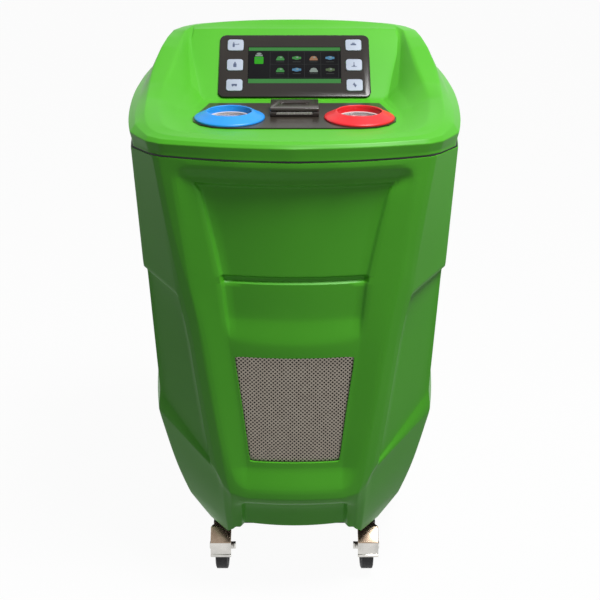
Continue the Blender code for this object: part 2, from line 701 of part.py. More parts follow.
def make_printer():
    seat = PLATE_TOP + CLEAR
    lid_low = PRINTER_TOP - LID_THICK
    front = PRINTER_FRONT_Y
    back = PRINTER_BACK_Y
    wide = PRINTER_HALF_X
    body = node_from(
        box((-wide, front, seat), (wide, back, lid_low - CLEAR)),
        "printer_body", (0.035, 0.03, 0.03), 0.2,
    )
    under = box((0.003 - wide, front + 0.003, 0.8620), (wide - 0.003, back - 0.003, seat + 0.001))
    boolean(body, helper_from(under, "join_printer_under"), "UNION")
    hollow = box((0.007 - wide, front + 0.007, 0.8640), (wide - 0.007, back - 0.007, lid_low + 0.01))
    boolean(body, helper_from(hollow, "cut_printer_hollow"))
    slot = box((0.010 - wide, front - 0.01, lid_low - 0.0024), (wide - 0.010, front + 0.01, PRINTER_TOP))
    boolean(body, helper_from(slot, "cut_printer_paper_slot"))
    lid = node_from(
        box((-wide, front, lid_low), (wide, back, PRINTER_TOP)), "printer_lid", (0.04, 0.034, 0.033), 0.15
    )
    grip = box((-0.024, front + 0.028, PRINTER_TOP - 0.0026), (0.024, front + 0.050, PRINTER_TOP + 0.01))
    boolean(lid, helper_from(grip, "cut_lid_grip"))
    shift_origin(lid, (0.0, back, lid_low))
    radius = 0.0190
    roll = revolve(((0.006, -0.028), (radius, -0.028), (radius, 0.028), (0.006, 0.028)), 24, closed=True)
    centre = (0.0, (front + back) / 2.0, 0.8640 + CLEAR + radius)
    node_from(placed(roll, centre, X_AXIS_TURN), "paper_roll", (0.85, 0.84, 0.80), 0.8)


def make_grille():
    # A bowed sheet pierced by rows of square holes, clamped behind the front opening.
    top = FRONT_ROWS[GRILLE_TOP_ROW][0] + 0.006
    low = FRONT_ROWS[GRILLE_LOW_ROW][0] - 0.006
    across = 7
    down = 9
    lines_x = [-1.0, -0.90]
    for hole in range(across):
        start = mix(-0.90, 0.90, (hole + 0.14) / across)
        end = mix(-0.90, 0.90, (hole + 0.86) / across)
        lines_x += [start, end]
    lines_x += [0.90, 1.0]
    lines_z = [0.0]
    for hole in range(down):
        lines_z += [mix(0.04, 0.96, (hole + 0.14) / down), mix(0.04, 0.96, (hole + 0.86) / down)]
    lines_z += [1.0]
    bm = bmesh.new()
    rows = []
    for share_z in lines_z:
        z = mix(top, low, share_z)
        half = along(FLANK_IN, z) - 0.006 + 0.004
        row = []
        for share_x in lines_x:
            x = share_x * half
            knots = (half - 0.004, (half - 0.004) / 2.0, 0.0)
            chord = along(tuple((knot, bow(knot)) for knot in (half + 0.002, *knots)), abs(x))
            row.append(bm.verts.new((x, chord + FLANK_DEPTH + HULL_WALL + CLEAR, z)))
        rows.append(row)
    for line in range(len(rows) - 1):
        for column in range(len(lines_x) - 1):
            pierced = line % 2 == 1 and column >= 2 and column % 2 == 0 and column < 2 + 2 * across
            if pierced:
                continue
            corners = (rows[line][column], rows[line + 1][column])
            corners += (rows[line + 1][column + 1], rows[line][column + 1])
            bm.faces.new(corners)
    node = node_from(bm, "front_grille", (0.35, 0.33, 0.30), 0.4, 0.9)
    solidify(node, 0.0012)


def make_back_panel():
    face = HALF_DEPTH - HULL_WALL - CLEAR
    panel = node_from(
        box((-0.178, face - 0.002, 0.176), (0.178, face, 0.803)), "back_panel", (0.02, 0.02, 0.022), 0.5
    )
    slots = []
    for bank in (-0.075, 0.075):
        for step in range(7):
            z = 0.560 + 0.030 * step
            slots.append(box((bank - 0.055, face - 0.01, z), (bank + 0.055, face + 0.01, z + 0.010)))
    boolean(panel, helper_from(merged(slots), "cut_vent_slots"))
    inlet_low = (0.080, face - 0.026, 0.225)
    inlet_high = (0.130, face + 0.001, 0.275)
    inlet_hole = box(
        (inlet_low[0] - CLEAR, face - 0.01, inlet_low[2] - CLEAR),
        (inlet_high[0] + CLEAR, face + 0.01, inlet_high[2] + CLEAR),
    )
    boolean(panel, helper_from(inlet_hole, "cut_inlet_opening"))
    flange_y = face + CLEAR
    inlet = node_from(
        box((0.074, flange_y, 0.219), (0.136, flange_y + 0.003, 0.281)),
        "power_inlet", (0.015, 0.015, 0.015), 0.4,
    )
    boolean(inlet, helper_from(box(inlet_low, inlet_high), "join_inlet_case"), "UNION")
    socket = box((0.086, face - 0.016, 0.230), (0.124, face + 0.01, 0.250))
    boolean(inlet, helper_from(socket, "cut_inlet_socket"))
    nest = box((0.092, face - 0.010, 0.2565), (0.118, face + 0.01, 0.2705))
    boolean(inlet, helper_from(nest, "cut_switch_nest"))
    rocker_outline = (
        (-0.0056, -0.006), (0.0056, -0.006), (0.0056, 0.0012), (0.0, 0.0022), (-0.0056, 0.0036)
    )
    rocker = prism(rocker_outline, 0.0923, 0.1177)
    turn = Matrix(((0.0, 0.0, 1.0), (0.0, 1.0, 0.0), (1.0, 0.0, 0.0)))
    place = (0.0, face, 0.2635)
    node = node_from(placed(rocker, place, turn), "power_switch", (0.55, 0.02, 0.02), 0.4)
    shift_origin(node, (0.105, face - 0.002, 0.2635))
    for side, tag, colour in ((-1.0, "low", (0.03, 0.2, 0.7)), (1.0, "high", (0.75, 0.02, 0.03))):
        x = -0.105 + side * 0.028
        hole = placed(cylinder(0.0083, -0.01, 0.01, 20), (x, face, 0.250), Y_AXIS_TURN)
        boolean(panel, helper_from(hole, "cut_port_" + tag))
        profile = (
            (0.0, -0.0275), (0.008, -0.0275), (0.008, 0.0003), (0.015, 0.0003), (0.015, 0.0035),
            (0.0045, 0.0035), (0.0045, -0.024), (0.0, -0.024),
        )
        port = placed(revolve(profile, 20), (x, face, 0.250), Y_AXIS_TURN)
        node_from(port, "service_port_" + tag, colour, 0.3, 0.6)


def tray_outline(inset):
    front = TRAY_FRONT_Y + inset
    notch = TRAY_NOTCH_Y - inset
    rear = TRAY_REAR_Y - inset
    right = [
        (0.0, front), (0.118 - 0.6 * inset, front), (0.1480 - inset, front + 0.014),
        (0.1600 - inset, CASTER_Y - 0.035), (0.2180 - inset, TRAY_NOTCH_Y - 0.042),
        (0.2270 - inset, TRAY_NOTCH_Y - 0.022), (0.2270 - inset, notch), (0.1860 - inset, notch),
        (0.1860 - inset, rear), (0.0, rear),
    ]
    return right + [(-x, y) for x, y in reversed(right[1:-1])]


def make_chassis():
    tray = node_from(
        prism(tray_outline(0.0), TRAY_Z, TRAY_Z + 0.022), "base_tray", (0.05, 0.05, 0.055), 0.5, 0.3
    )
    inner = prism(tray_outline(0.002), TRAY_Z + TRAY_THICK, TRAY_Z + 0.05)
    boolean(tray, helper_from(inner, "cut_tray_well"))
    floor = TRAY_Z + TRAY_THICK + CLEAR
    wide = UPRIGHT_HALF_X
    deep = UPRIGHT_HALF_Y
    sheet = 0.002
    outline = (
        (-wide, -deep), (wide, -deep), (wide, deep), (-wide, deep), (-wide, deep - sheet),
        (wide - sheet, deep - sheet), (wide - sheet, sheet - deep), (-wide, sheet - deep),
    )
    for side, tag in ((-1.0, "left"), (1.0, "right")):
        moved = [(side * (UPRIGHT_X + x), UPRIGHT_Y + y) for x, y in outline]
        node_from(prism(moved, floor, CARRIER_Z), "upright_" + tag, (0.06, 0.06, 0.065), 0.5, 0.3)
        hanger = box(
            (side * 0.165 - 0.003, REAR_WHEEL_Y - 0.020, REAR_WHEEL_RADIUS - 0.016),
            (side * 0.165 + 0.003, REAR_WHEEL_Y + 0.020, TRAY_Z + 0.001),
        )
        boolean(tray, helper_from(hanger, "join_axle_hanger_" + tag), "UNION")
        axle_hole = placed(
            cylinder(AXLE_RADIUS + CLEAR, -0.03, 0.03, 20),
            (side * 0.165, REAR_WHEEL_Y, REAR_WHEEL_RADIUS), X_AXIS_TURN,
        )
        boolean(tray, helper_from(axle_hole, "cut_axle_" + tag))
        foot = box((-0.019, -0.035, TRAY_Z - CASTER_PAD), (0.019, 0.035, TRAY_Z + 0.001))
        placed(foot, (side * CASTER_X, CASTER_Y, 0.0))
        boolean(tray, helper_from(foot, "join_caster_pad_" + tag), "UNION")
    edge = UPRIGHT_X - UPRIGHT_HALF_X - CLEAR
    start = UPRIGHT_Y - UPRIGHT_HALF_Y
    shelf = box((-edge, start, SHELF_Z), (edge, start + 0.188, SHELF_Z + SHELF_THICK))
    node_from(shelf, "mid_shelf", (0.06, 0.06, 0.065), 0.5, 0.3)
    reach = UPRIGHT_X + UPRIGHT_HALF_X
    plate = box((-reach, start, CARRIER_Z + CLEAR), (reach, start + 0.178, CARRIER_Z + 0.003))
    carrier = node_from(plate, "control_box", (0.45, 0.46, 0.47), 0.5, 0.2)
    case = box((-0.115, start + 0.078, CARRIER_Z + 0.002), (0.115, start + 0.174, CARRIER_Z + 0.058))
    boolean(carrier, helper_from(case, "join_control_case"), "UNION")


def make_hull_brackets(front, rear):
    # Blocks between the uprights and the hull, each spanning the split line.
    scene = bpy.context.evaluated_depsgraph_get()
    trees = [BVHTree.FromObject(shell, scene) for shell in (front, rear)]
    start = UPRIGHT_X + UPRIGHT_HALF_X + CLEAR
    height = 0.720
    near = SPLIT_Y - 0.014
    far = SPLIT_Y + 0.006
    reach = 1.0
    for y in (near, SPLIT_Y - 0.0065, far):
        for z in (height, height + 0.030):
            for tree in trees:
                hit = tree.ray_cast(Vector((start, y, z)), Vector((1.0, 0.0, 0.0)))[0]
                if hit is not None:
                    reach = min(reach, hit.x)
    for side, tag in ((-1.0, "left"), (1.0, "right")):
        ends = sorted((side * start, side * (reach - CLEAR)))
        node_from(
            box((ends[0], near, height), (ends[1], far, height + 0.030)),
            "hull_bracket_" + tag, (0.06, 0.06, 0.065), 0.5, 0.3,
        )


def make_side_cap(front):
    scene = bpy.context.evaluated_depsgraph_get()
    tree = BVHTree.FromObject(front, scene)
    spot, normal = tree.ray_cast(Vector((0.5, SPLIT_Y - 0.054, 0.324)), Vector((-1.0, 0.0, 0.0)))[:2]
    turn = Vector((0.0, 0.0, 1.0)).rotation_difference(normal).to_matrix()
    hole = placed(cylinder(0.0055 + CLEAR, -0.02, 0.02, 16), spot, turn)
    boolean(front, helper_from(hole, "cut_side_cap"))
    profile = (
        (0.0, -0.012), (0.0055, -0.012), (0.0055, CLEAR), (0.009, CLEAR), (0.009, 0.0032),
        (0.0075, 0.0045), (0.0, 0.0045),
    )
    node_from(placed(revolve(profile, 20), spot, turn), "side_cap", (0.015, 0.015, 0.015), 0.5)


def fork_leg():
    outline = [(0.014, 0.1065), (-0.040, 0.1065)]
    middle = (-CASTER_TRAIL, CASTER_RADIUS)
    for degrees in (180.0, 225.0, 270.0, 315.0, 360.0):
        turn = math.radians(degrees)
        outline.append((middle[0] + 0.011 * math.cos(turn), middle[1] + 0.011 * math.sin(turn)))
    return outline


def make_caster(side, tag):
    place = (side * CASTER_X, CASTER_Y, 0.0)
    zinc = (0.55, 0.55, 0.53)
    plate_low = TRAY_Z - CASTER_PAD
    fork = node_from(
        placed(cylinder(0.0175, 0.1060, plate_low - CLEAR, 28, 0.002), place),
        "caster_fork_" + tag, (0.12, 0.12, 0.12), 0.4, 0.8,
    )
    gap = CASTER_WIDTH / 2.0 + 0.0015
    crown = placed(box((-gap - 0.002, -0.040, 0.1045), (gap + 0.002, 0.014, 0.1080)), place)
    boolean(fork, helper_from(crown, "join_crown_" + tag), "UNION")
    turn = Matrix(((0.0, 0.0, 1.0), (1.0, 0.0, 0.0), (0.0, 1.0, 0.0)))
    for half in (-1.0, 1.0):
        ends = sorted((half * gap, half * (gap + 0.002)))
        leg = placed(prism(fork_leg(), ends[0], ends[1]), place, turn)
        boolean(fork, helper_from(leg, "join_leg_" + tag + ("_out" if half > 0.0 else "_in")), "UNION")
    axle_y = CASTER_Y - CASTER_TRAIL
    axle_at = (side * CASTER_X, axle_y, CASTER_RADIUS)
    bore = placed(cylinder(0.0043, -0.03, 0.03, 16), axle_at, X_AXIS_TURN)
    boolean(fork, helper_from(bore, "cut_fork_bore_" + tag))
    shift_origin(fork, place)
    out = gap + 0.002 + CLEAR
    pin = (
        (0.0, -out - 0.005), (0.0075, -out - 0.005), (0.0075, -out), (0.004, -out),
        (0.004, out), (0.0075, out), (0.0075, out + 0.005), (0.0, out + 0.005),
    )
    axle = node_from(
        placed(revolve(pin, 16), axle_at, X_AXIS_TURN), "caster_axle_" + tag, zinc, 0.35, 0.9
    )
    shift_origin(axle, axle_at)
    wide = CASTER_WIDTH / 2.0
    hub = gap - CLEAR
    tread = (
        (0.0043, -hub), (0.0120, -hub), (0.0120, 0.006 - wide), (CASTER_RADIUS - 0.010, 0.006 - wide),
        (CASTER_RADIUS - 0.008, -wide), (CASTER_RADIUS - 0.003, -wide), (CASTER_RADIUS, 0.003 - wide),
        (CASTER_RADIUS, wide - 0.003), (CASTER_RADIUS - 0.003, wide), (CASTER_RADIUS - 0.008, wide),
        (CASTER_RADIUS - 0.010, wide - 0.006), (0.0120, wide - 0.006), (0.0120, hub), (0.0043, hub),
    )
    wheel = node_from(
        placed(revolve(tread, 24, closed=True), axle_at, X_AXIS_TURN),
        "caster_wheel_" + tag, (0.30, 0.31, 0.33), 0.6,
    )
    shift_origin(wheel, axle_at)
    pivot = (CASTER_Y - 0.0400 - 0.0031 - CLEAR, 0.1060)
    outline = [
        (0.0, 0.0028), (-0.012, 0.0028), (-0.0375, -0.0170), (-0.0430, -0.0460), (-0.0402, -0.0465),
        (-0.0350, -0.0185), (-0.0110, 0.0000), (-0.0030, 0.0000), (-0.0022, -0.0022), (0.0, -0.0031),
        (0.0022, -0.0022), (0.0031, 0.0), (0.0022, 0.0022),
    ]
    pedal = node_from(
        placed(prism(outline, -0.0132, 0.0132), (side * CASTER_X, pivot[0], pivot[1]), turn),
        "caster_pedal_" + tag, zinc, 0.3, 0.9,
    )
    bevel(pedal, 0.0008, 1)
    shift_origin(pedal, (side * CASTER_X, pivot[0], pivot[1]))


def make_rear_wheels():
    wide = REAR_WHEEL_WIDTH / 2.0
    radius = REAR_WHEEL_RADIUS
    bore = AXLE_RADIUS + CLEAR
    tread = (
        (bore, -wide), (0.022, -wide), (0.028, 0.008 - wide), (radius - 0.024, 0.008 - wide),
        (radius - 0.020, -wide), (radius - 0.006, -wide), (radius, 0.006 - wide), (radius, wide - 0.006),
        (radius - 0.006, wide), (radius - 0.020, wide), (radius - 0.024, wide - 0.008),
        (0.028, wide - 0.008),
        (0.022, wide), (bore, wide),
    )
    for side, tag in ((-1.0, "left"), (1.0, "right")):
        place = (side * REAR_WHEEL_X, REAR_WHEEL_Y, REAR_WHEEL_RADIUS)
        wheel = node_from(
            placed(revolve(tread, 28, closed=True), place, X_AXIS_TURN),
            "rear_wheel_" + tag, (0.03, 0.03, 0.03), 0.8,
        )
        shift_origin(wheel, place)
    inner = REAR_WHEEL_X - wide - CLEAR
    outer = REAR_WHEEL_X + wide + CLEAR
    half = [
        (0.0, outer + 0.004), (0.013, outer + 0.004), (0.013, outer), (AXLE_RADIUS, outer),
        (AXLE_RADIUS, inner), (0.012, inner), (0.012, inner - 0.005), (AXLE_RADIUS, inner - 0.005),
    ]
    profile = half + [(r, -h) for r, h in reversed(half)]
    axle_at = (0.0, REAR_WHEEL_Y, REAR_WHEEL_RADIUS)
    node_from(placed(revolve(profile, 12), axle_at, X_AXIS_TURN), "rear_axle", (0.5, 0.5, 0.5), 0.35, 0.9)


def make_inner_units():
    floor = TRAY_Z + TRAY_THICK + CLEAR
    wall = TANK_WALL
    radius = TANK_RADIUS
    high = TANK_HEIGHT
    outer = [
        (0.0, 0.0), (0.060, 0.0), (radius - 0.018, 0.012), (radius, 0.046), (radius, high - 0.046),
        (radius - 0.018, high - 0.012), (0.060, high), (0.016, high + 0.002), (0.016, high + 0.014),
    ]
    hollow = [
        (0.012, high + 0.014), (0.012, high - wall), (0.060 - wall, high - wall),
        (radius - 0.020, high - 0.015), (radius - wall, high - 0.047), (radius - wall, 0.047),
        (radius - 0.020, 0.015), (0.060 - wall, wall), (0.0, wall),
    ]
    tank_at = (TANK_X, TANK_Y, TANK_BASE)
    node_from(
        placed(revolve(outer + hollow, 20), tank_at), "refrigerant_tank", (0.55, 0.62, 0.66), 0.4, angle=50.0
    )
    deck = TANK_BASE - CLEAR
    node_from(
        placed(cylinder(0.085, deck - 0.010, deck, 28, 0.001), (TANK_X, TANK_Y, 0.0)),
        "scale_platform", (0.35, 0.36, 0.37), 0.4, 0.7,
    )
    top = deck - 0.010 - CLEAR
    cell = box((TANK_X - 0.017, TANK_Y - 0.065, floor), (TANK_X + 0.017, TANK_Y + 0.065, top))
    node_from(cell, "load_cell", (0.60, 0.61, 0.62), 0.4, 0.8)
    shell = 0.004
    dome = (
        (0.0, 0.0), (0.062, 0.0), (0.068, 0.008), (0.068, 0.150), (0.055, 0.178), (0.015, 0.188),
        (0.012, 0.188), (0.010, 0.180), (0.052, 0.172), (0.064, 0.149), (0.064, 0.010), (0.0, shell),
    )
    dome_at = (COMPRESSOR_X, COMPRESSOR_Y, floor)
    node_from(placed(revolve(dome, 24), dome_at), "compressor", (0.03, 0.03, 0.035), 0.45)
    low = (PUMP_LOW_X, PUMP_REAR_Y - PUMP_LONG, floor)
    high = (PUMP_LOW_X + PUMP_WIDE, PUMP_REAR_Y, floor + 0.095)
    pump = node_from(box(low, high), "vacuum_pump", (0.12, 0.20, 0.42), 0.45)
    motor_at = (PUMP_LOW_X + PUMP_WIDE / 2.0, PUMP_REAR_Y - PUMP_LONG / 2.0, floor + 0.090)
    motor = placed(cylinder(0.045, -0.065, 0.065, 24), motor_at, Y_AXIS_TURN)
    boolean(pump, helper_from(motor, "join_pump_motor"), "UNION")
    shelf = SHELF_Z + SHELF_THICK + CLEAR
    middle = UPRIGHT_Y + 0.077
    block = node_from(
        box((-0.060, middle - 0.025, shelf), (0.060, middle + 0.025, shelf + 0.045)),
        "valve_manifold", (0.55, 0.56, 0.57), 0.4, 0.8,
    )
    coils = [placed(cylinder(0.014, 0.040, 0.085, 16), (x, middle, shelf)) for x in (-0.042, 0.0, 0.042)]
    boolean(block, helper_from(merged(coils), "join_valve_coils"), "UNION")
    bottle = ((0.0, 0.0), (0.024, 0.0), (0.026, 0.003), (0.026, 0.090), (0.014, 0.106), (0.014, 0.122),
              (0.012, 0.122), (0.012, 0.105), (0.024, 0.089), (0.024, 0.004), (0.0, 0.002))
    node_from(placed(revolve(bottle, 20), (0.120, middle, shelf)), "oil_bottle", (0.75, 0.70, 0.40), 0.3)


def make_cooling():
    plate = node_from(
        box((-0.115, SHROUD_Y, TRAY_Z + TRAY_THICK + CLEAR), (0.115, SHROUD_Y + 0.002, 0.522)),
        "fan_shroud", (0.03, 0.03, 0.033), 0.6,
    )
    hole = placed(cylinder(FAN_RADIUS + 0.004, -0.02, 0.02, 32), (0.0, SHROUD_Y, FAN_Z), Y_AXIS_TURN)
    boolean(plate, helper_from(hole, "cut_fan_hole"))
    arch = box((-0.090, SHROUD_Y - 0.02, 0.100), (0.090, SHROUD_Y + 0.02, 0.280))
    boolean(plate, helper_from(arch, "cut_shroud_arch"))
    fins = 14
    outline = [(-0.105, 0.0)]
    for fin in range(fins):
        low = mix(-0.105, 0.105, (fin + 0.30) / fins)
        high = mix(-0.105, 0.105, (fin + 0.70) / fins)
        outline += [(low, 0.0), (low, 0.020), (high, 0.020), (high, 0.0)]
    outline += [(0.105, 0.0), (0.105, 0.028), (-0.105, 0.028)]
    core = prism([(x, SHROUD_Y - CLEAR - 0.028 + y) for x, y in outline], 0.300, 0.510)
    node_from(core, "condenser", (0.45, 0.46, 0.47), 0.4, 0.9)
    back = SHROUD_Y + 0.002
    strap = (
        (-0.112, back - 0.001), (-0.098, back - 0.001), (-0.095, back + 0.030), (0.095, back + 0.030),
        (0.098, back - 0.001), (0.112, back - 0.001), (0.112, back + 0.002), (0.0995, back + 0.002),
        (0.0965, back + 0.032), (-0.0965, back + 0.032), (-0.0995, back + 0.002), (-0.112, back + 0.002),
    )
    boolean(plate, helper_from(prism(strap, FAN_Z - 0.010, FAN_Z + 0.010), "join_motor_strap"), "UNION")
    can = placed(cylinder(0.030, 0.031, 0.062, 24), (0.0, back, FAN_Z), Y_AXIS_TURN)
    boolean(plate, helper_from(can, "join_motor_can"), "UNION")
    shaft = placed(cylinder(0.005, 0.0175 + CLEAR, 0.032, 16), (0.0, back, FAN_Z), Y_AXIS_TURN)
    boolean(plate, helper_from(shaft, "join_motor_shaft"), "UNION")
    bm = bmesh.new()
    blades = 5
    ring = []
    for blade in range(blades):
        start = 360.0 / blades * blade
        spots = ((0.022, 0.0, 0.0), (FAN_RADIUS, 6.0, 0.006), (FAN_RADIUS, 44.0, -0.006), (0.022, 40.0, 0.0))
        for reach, degrees, lift in spots:
            turn = math.radians(start + degrees)
            ring.append((reach * math.cos(turn), reach * math.sin(turn), lift))
    faces = []
    for level in (0.0, 0.004):
        hub = bm.verts.new((0.0, 0.0, level))
        verts = [bm.verts.new((x, y, z + level)) for x, y, z in ring]
        faces.append(verts)
        for blade in range(blades):
            base = 4 * blade
            bm.faces.new((hub, verts[base + 3], verts[(base + 4) % len(verts)]))
            bm.faces.new((hub, verts[base], verts[base + 3]))
            bm.faces.new((verts[base], verts[base + 1], verts[base + 3]))
            bm.faces.new((verts[base + 1], verts[base + 2], verts[base + 3]))
    for index in range(len(ring)):
        following = (index + 1) % len(ring)
        bm.faces.new((faces[0][index], faces[0][following], faces[1][following], faces[1][index]))
    rotor_at = (0.0, back + 0.0135, FAN_Z)
    rotor = node_from(placed(bm, rotor_at, Y_AXIS_TURN), "fan_rotor", (0.03, 0.03, 0.033), 0.5)
    shift_origin(rotor, rotor_at)


def main():
    clear_scene()
    front = make_front_shell()
    rear = make_rear_shell()
    head = make_head_cover()
    make_seam_gasket()
    make_hull_brackets(front, rear)
    make_side_cap(front)
    make_control_panel(head)
    make_deck(head)
    make_printer()
    make_grille()
    make_back_panel()
    make_chassis()
    make_caster(-1.0, "left")
    make_caster(1.0, "right")
    make_rear_wheels()
    make_inner_units()
    make_cooling()


main()
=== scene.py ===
import math

import bpy
from mathutils import Matrix, Vector


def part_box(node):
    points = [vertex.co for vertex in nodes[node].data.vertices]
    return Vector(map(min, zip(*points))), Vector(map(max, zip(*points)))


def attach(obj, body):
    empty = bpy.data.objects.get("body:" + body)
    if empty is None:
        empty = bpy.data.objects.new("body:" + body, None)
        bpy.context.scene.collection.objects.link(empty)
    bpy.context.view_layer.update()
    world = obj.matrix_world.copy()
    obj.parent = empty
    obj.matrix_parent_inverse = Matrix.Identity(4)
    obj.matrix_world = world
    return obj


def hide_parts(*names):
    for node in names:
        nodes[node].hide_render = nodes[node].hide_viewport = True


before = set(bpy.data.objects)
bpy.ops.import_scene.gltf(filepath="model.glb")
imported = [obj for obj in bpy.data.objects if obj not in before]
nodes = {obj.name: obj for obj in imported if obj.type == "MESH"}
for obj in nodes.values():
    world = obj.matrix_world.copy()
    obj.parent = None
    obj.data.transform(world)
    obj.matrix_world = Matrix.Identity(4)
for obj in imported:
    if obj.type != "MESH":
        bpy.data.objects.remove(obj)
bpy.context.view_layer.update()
print("frame loaded:", len(nodes), "parts")


# camera first: it stands where the photographer stood
cameraSet = {"place": (0.0, -1.85, 1.35), "pitch": 65.7, "lens": 63.0, "sensor": 36.0, "shiftX": 0.0092}


def makeCamera():
    data = bpy.data.cameras.new("stationCamera")
    data.lens = cameraSet["lens"]
    data.sensor_width = cameraSet["sensor"]
    data.shift_x = cameraSet["shiftX"]
    camera = bpy.data.objects.new("stationCamera", data)
    bpy.context.scene.collection.objects.link(camera)
    camera.location = cameraSet["place"]
    camera.rotation_euler = (math.radians(cameraSet["pitch"]), 0.0, 0.0)
    bpy.context.scene.camera = camera


makeCamera()
print("camera placed")


# small helpers for working as in the viewport
def onlySelect(piece):
    bpy.ops.object.select_all(action="DESELECT")
    piece.select_set(True)
    bpy.context.view_layer.objects.active = piece


def editMode(piece, whole=False):
    onlySelect(piece)
    bpy.ops.object.mode_set(mode="EDIT")
    bpy.ops.mesh.select_mode(type="VERT")
    bpy.ops.mesh.select_all(action="SELECT" if whole else "DESELECT")


def objectMode():
    bpy.ops.object.mode_set(mode="OBJECT")


def selectAll():
    bpy.ops.mesh.select_all(action="SELECT")


def faceOutward():
    # in edit mode: every face of the piece is turned outward
    selectAll()
    bpy.ops.mesh.normals_make_consistent(inside=False)


def moveBy(piece, place):
    piece.data.transform(Matrix.Translation(place))


def turnBy(piece, degrees, axis):
    piece.data.transform(Matrix.Rotation(math.radians(degrees), 4, axis))


def stretchBy(piece, x, y, z=1.0):
    piece.data.transform(Matrix.Diagonal((x, y, z, 1.0)))


def mixValue(low, high, share):
    return low + (high - low) * share


def pickVertices(piece, wanted):
    # leaves edit mode, selects the vertices that the test wants, and goes back
    objectMode()
    for vertex in piece.data.vertices:
        vertex.select = wanted(vertex.co)
    for edge in piece.data.edges:
        edge.select = all(piece.data.vertices[i].select for i in edge.vertices)
    for face in piece.data.polygons:
        face.select = all(piece.data.vertices[i].select for i in face.vertices)
    bpy.ops.object.mode_set(mode="EDIT")


def applyAll(piece):
    onlySelect(piece)
    for step in list(piece.modifiers):
        bpy.ops.object.modifier_apply(modifier=step.name)


def smoothBy(piece, degrees):
    onlySelect(piece)
    bpy.ops.object.shade_smooth_by_angle(angle=math.radians(degrees))


def paintWith(piece, material):
    piece.data.materials.clear()
    piece.data.materials.append(material)


def copyOfNode(node, pieceName):
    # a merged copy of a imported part, to be worked on as a piece of its own
    source = nodes[node]
    piece = source.copy()
    piece.data = source.data.copy()
    piece.name = pieceName
    piece.data.name = pieceName
    piece.parent = None
    for key in list(piece.keys()):
        del piece[key]
    bpy.context.scene.collection.objects.link(piece)
    editMode(piece, whole=True)
    bpy.ops.mesh.remove_doubles(threshold=0.00002)
    bpy.ops.mesh.customdata_custom_splitnormals_clear()
    objectMode()
    return piece


def finishPiece(piece, shade, finish, body, node, slot):
    smoothBy(piece, shade)
    paintWith(piece, materials[finish])
    standFor(piece, body, node, slot=slot)


def standFor(piece, body, *replaced, slot=None):
    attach(piece, body)
    if replaced:
        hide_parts(*replaced)


# materials
def newMaterial(name):
    material = bpy.data.materials.new(name)
    material.use_nodes = True
    return material, material.node_tree, material.node_tree.nodes["Principled BSDF"]


def objectNoise(tree, scale, detail=2.0):
    place = tree.nodes.new("ShaderNodeTexCoord")
    noise = tree.nodes.new("ShaderNodeTexNoise")
    noise.inputs["Scale"].default_value = scale
    noise.inputs["Detail"].default_value = detail
    noise.inputs["Roughness"].default_value = 0.55
    tree.links.new(place.outputs["Object"], noise.inputs["Vector"])
    return noise


def colourSpread(tree, factor, first, second):
    ramp = tree.nodes.new("ShaderNodeValToRGB")
    ramp.color_ramp.elements[0].position = 0.35
    ramp.color_ramp.elements[1].position = 0.65
    ramp.color_ramp.elements[0].color = (*first, 1.0)
    ramp.color_ramp.elements[1].color = (*second, 1.0)
    tree.links.new(factor, ramp.inputs["Fac"])
    return ramp.outputs["Color"]


def spreadValue(tree, factor, low, high):
    span = tree.nodes.new("ShaderNodeMapRange")
    span.inputs["To Min"].default_value = low
    span.inputs["To Max"].default_value = high
    tree.links.new(factor, span.inputs["Value"])
    return span.outputs["Result"]


def addBump(tree, shader, height, strength, distance):
    bump = tree.nodes.new("ShaderNodeBump")
    bump.inputs["Strength"].default_value = strength
    bump.inputs["Distance"].default_value = distance
    tree.links.new(height, bump.inputs["Height"])
    tree.links.new(bump.outputs["Normal"], shader.inputs["Normal"])


def surface(name, look):
    # a plain surface with cloudy colour, uneven gloss and a fine grain
    material, tree, shader = newMaterial(name)
    cloud = objectNoise(tree, look.get("cloud", 7.0))
    first = look["colour"]
    second = look.get("second", tuple(min(1.0, c * 1.12 + 0.004) for c in first))
    tree.links.new(colourSpread(tree, cloud.outputs["Fac"], first, second), shader.inputs["Base Color"])
    grain = objectNoise(tree, look.get("grain", 900.0))
    low, high = look["rough"]
    tree.links.new(spreadValue(tree, grain.outputs["Fac"], low, high), shader.inputs["Roughness"])
    addBump(tree, shader, grain.outputs["Fac"], look.get("bump", 0.25), look.get("depth", 0.0002))
    shader.inputs["Metallic"].default_value = look.get("metallic", 0.0)
    shader.inputs["Specular IOR Level"].default_value = look.get("specular", 0.5)
    return material


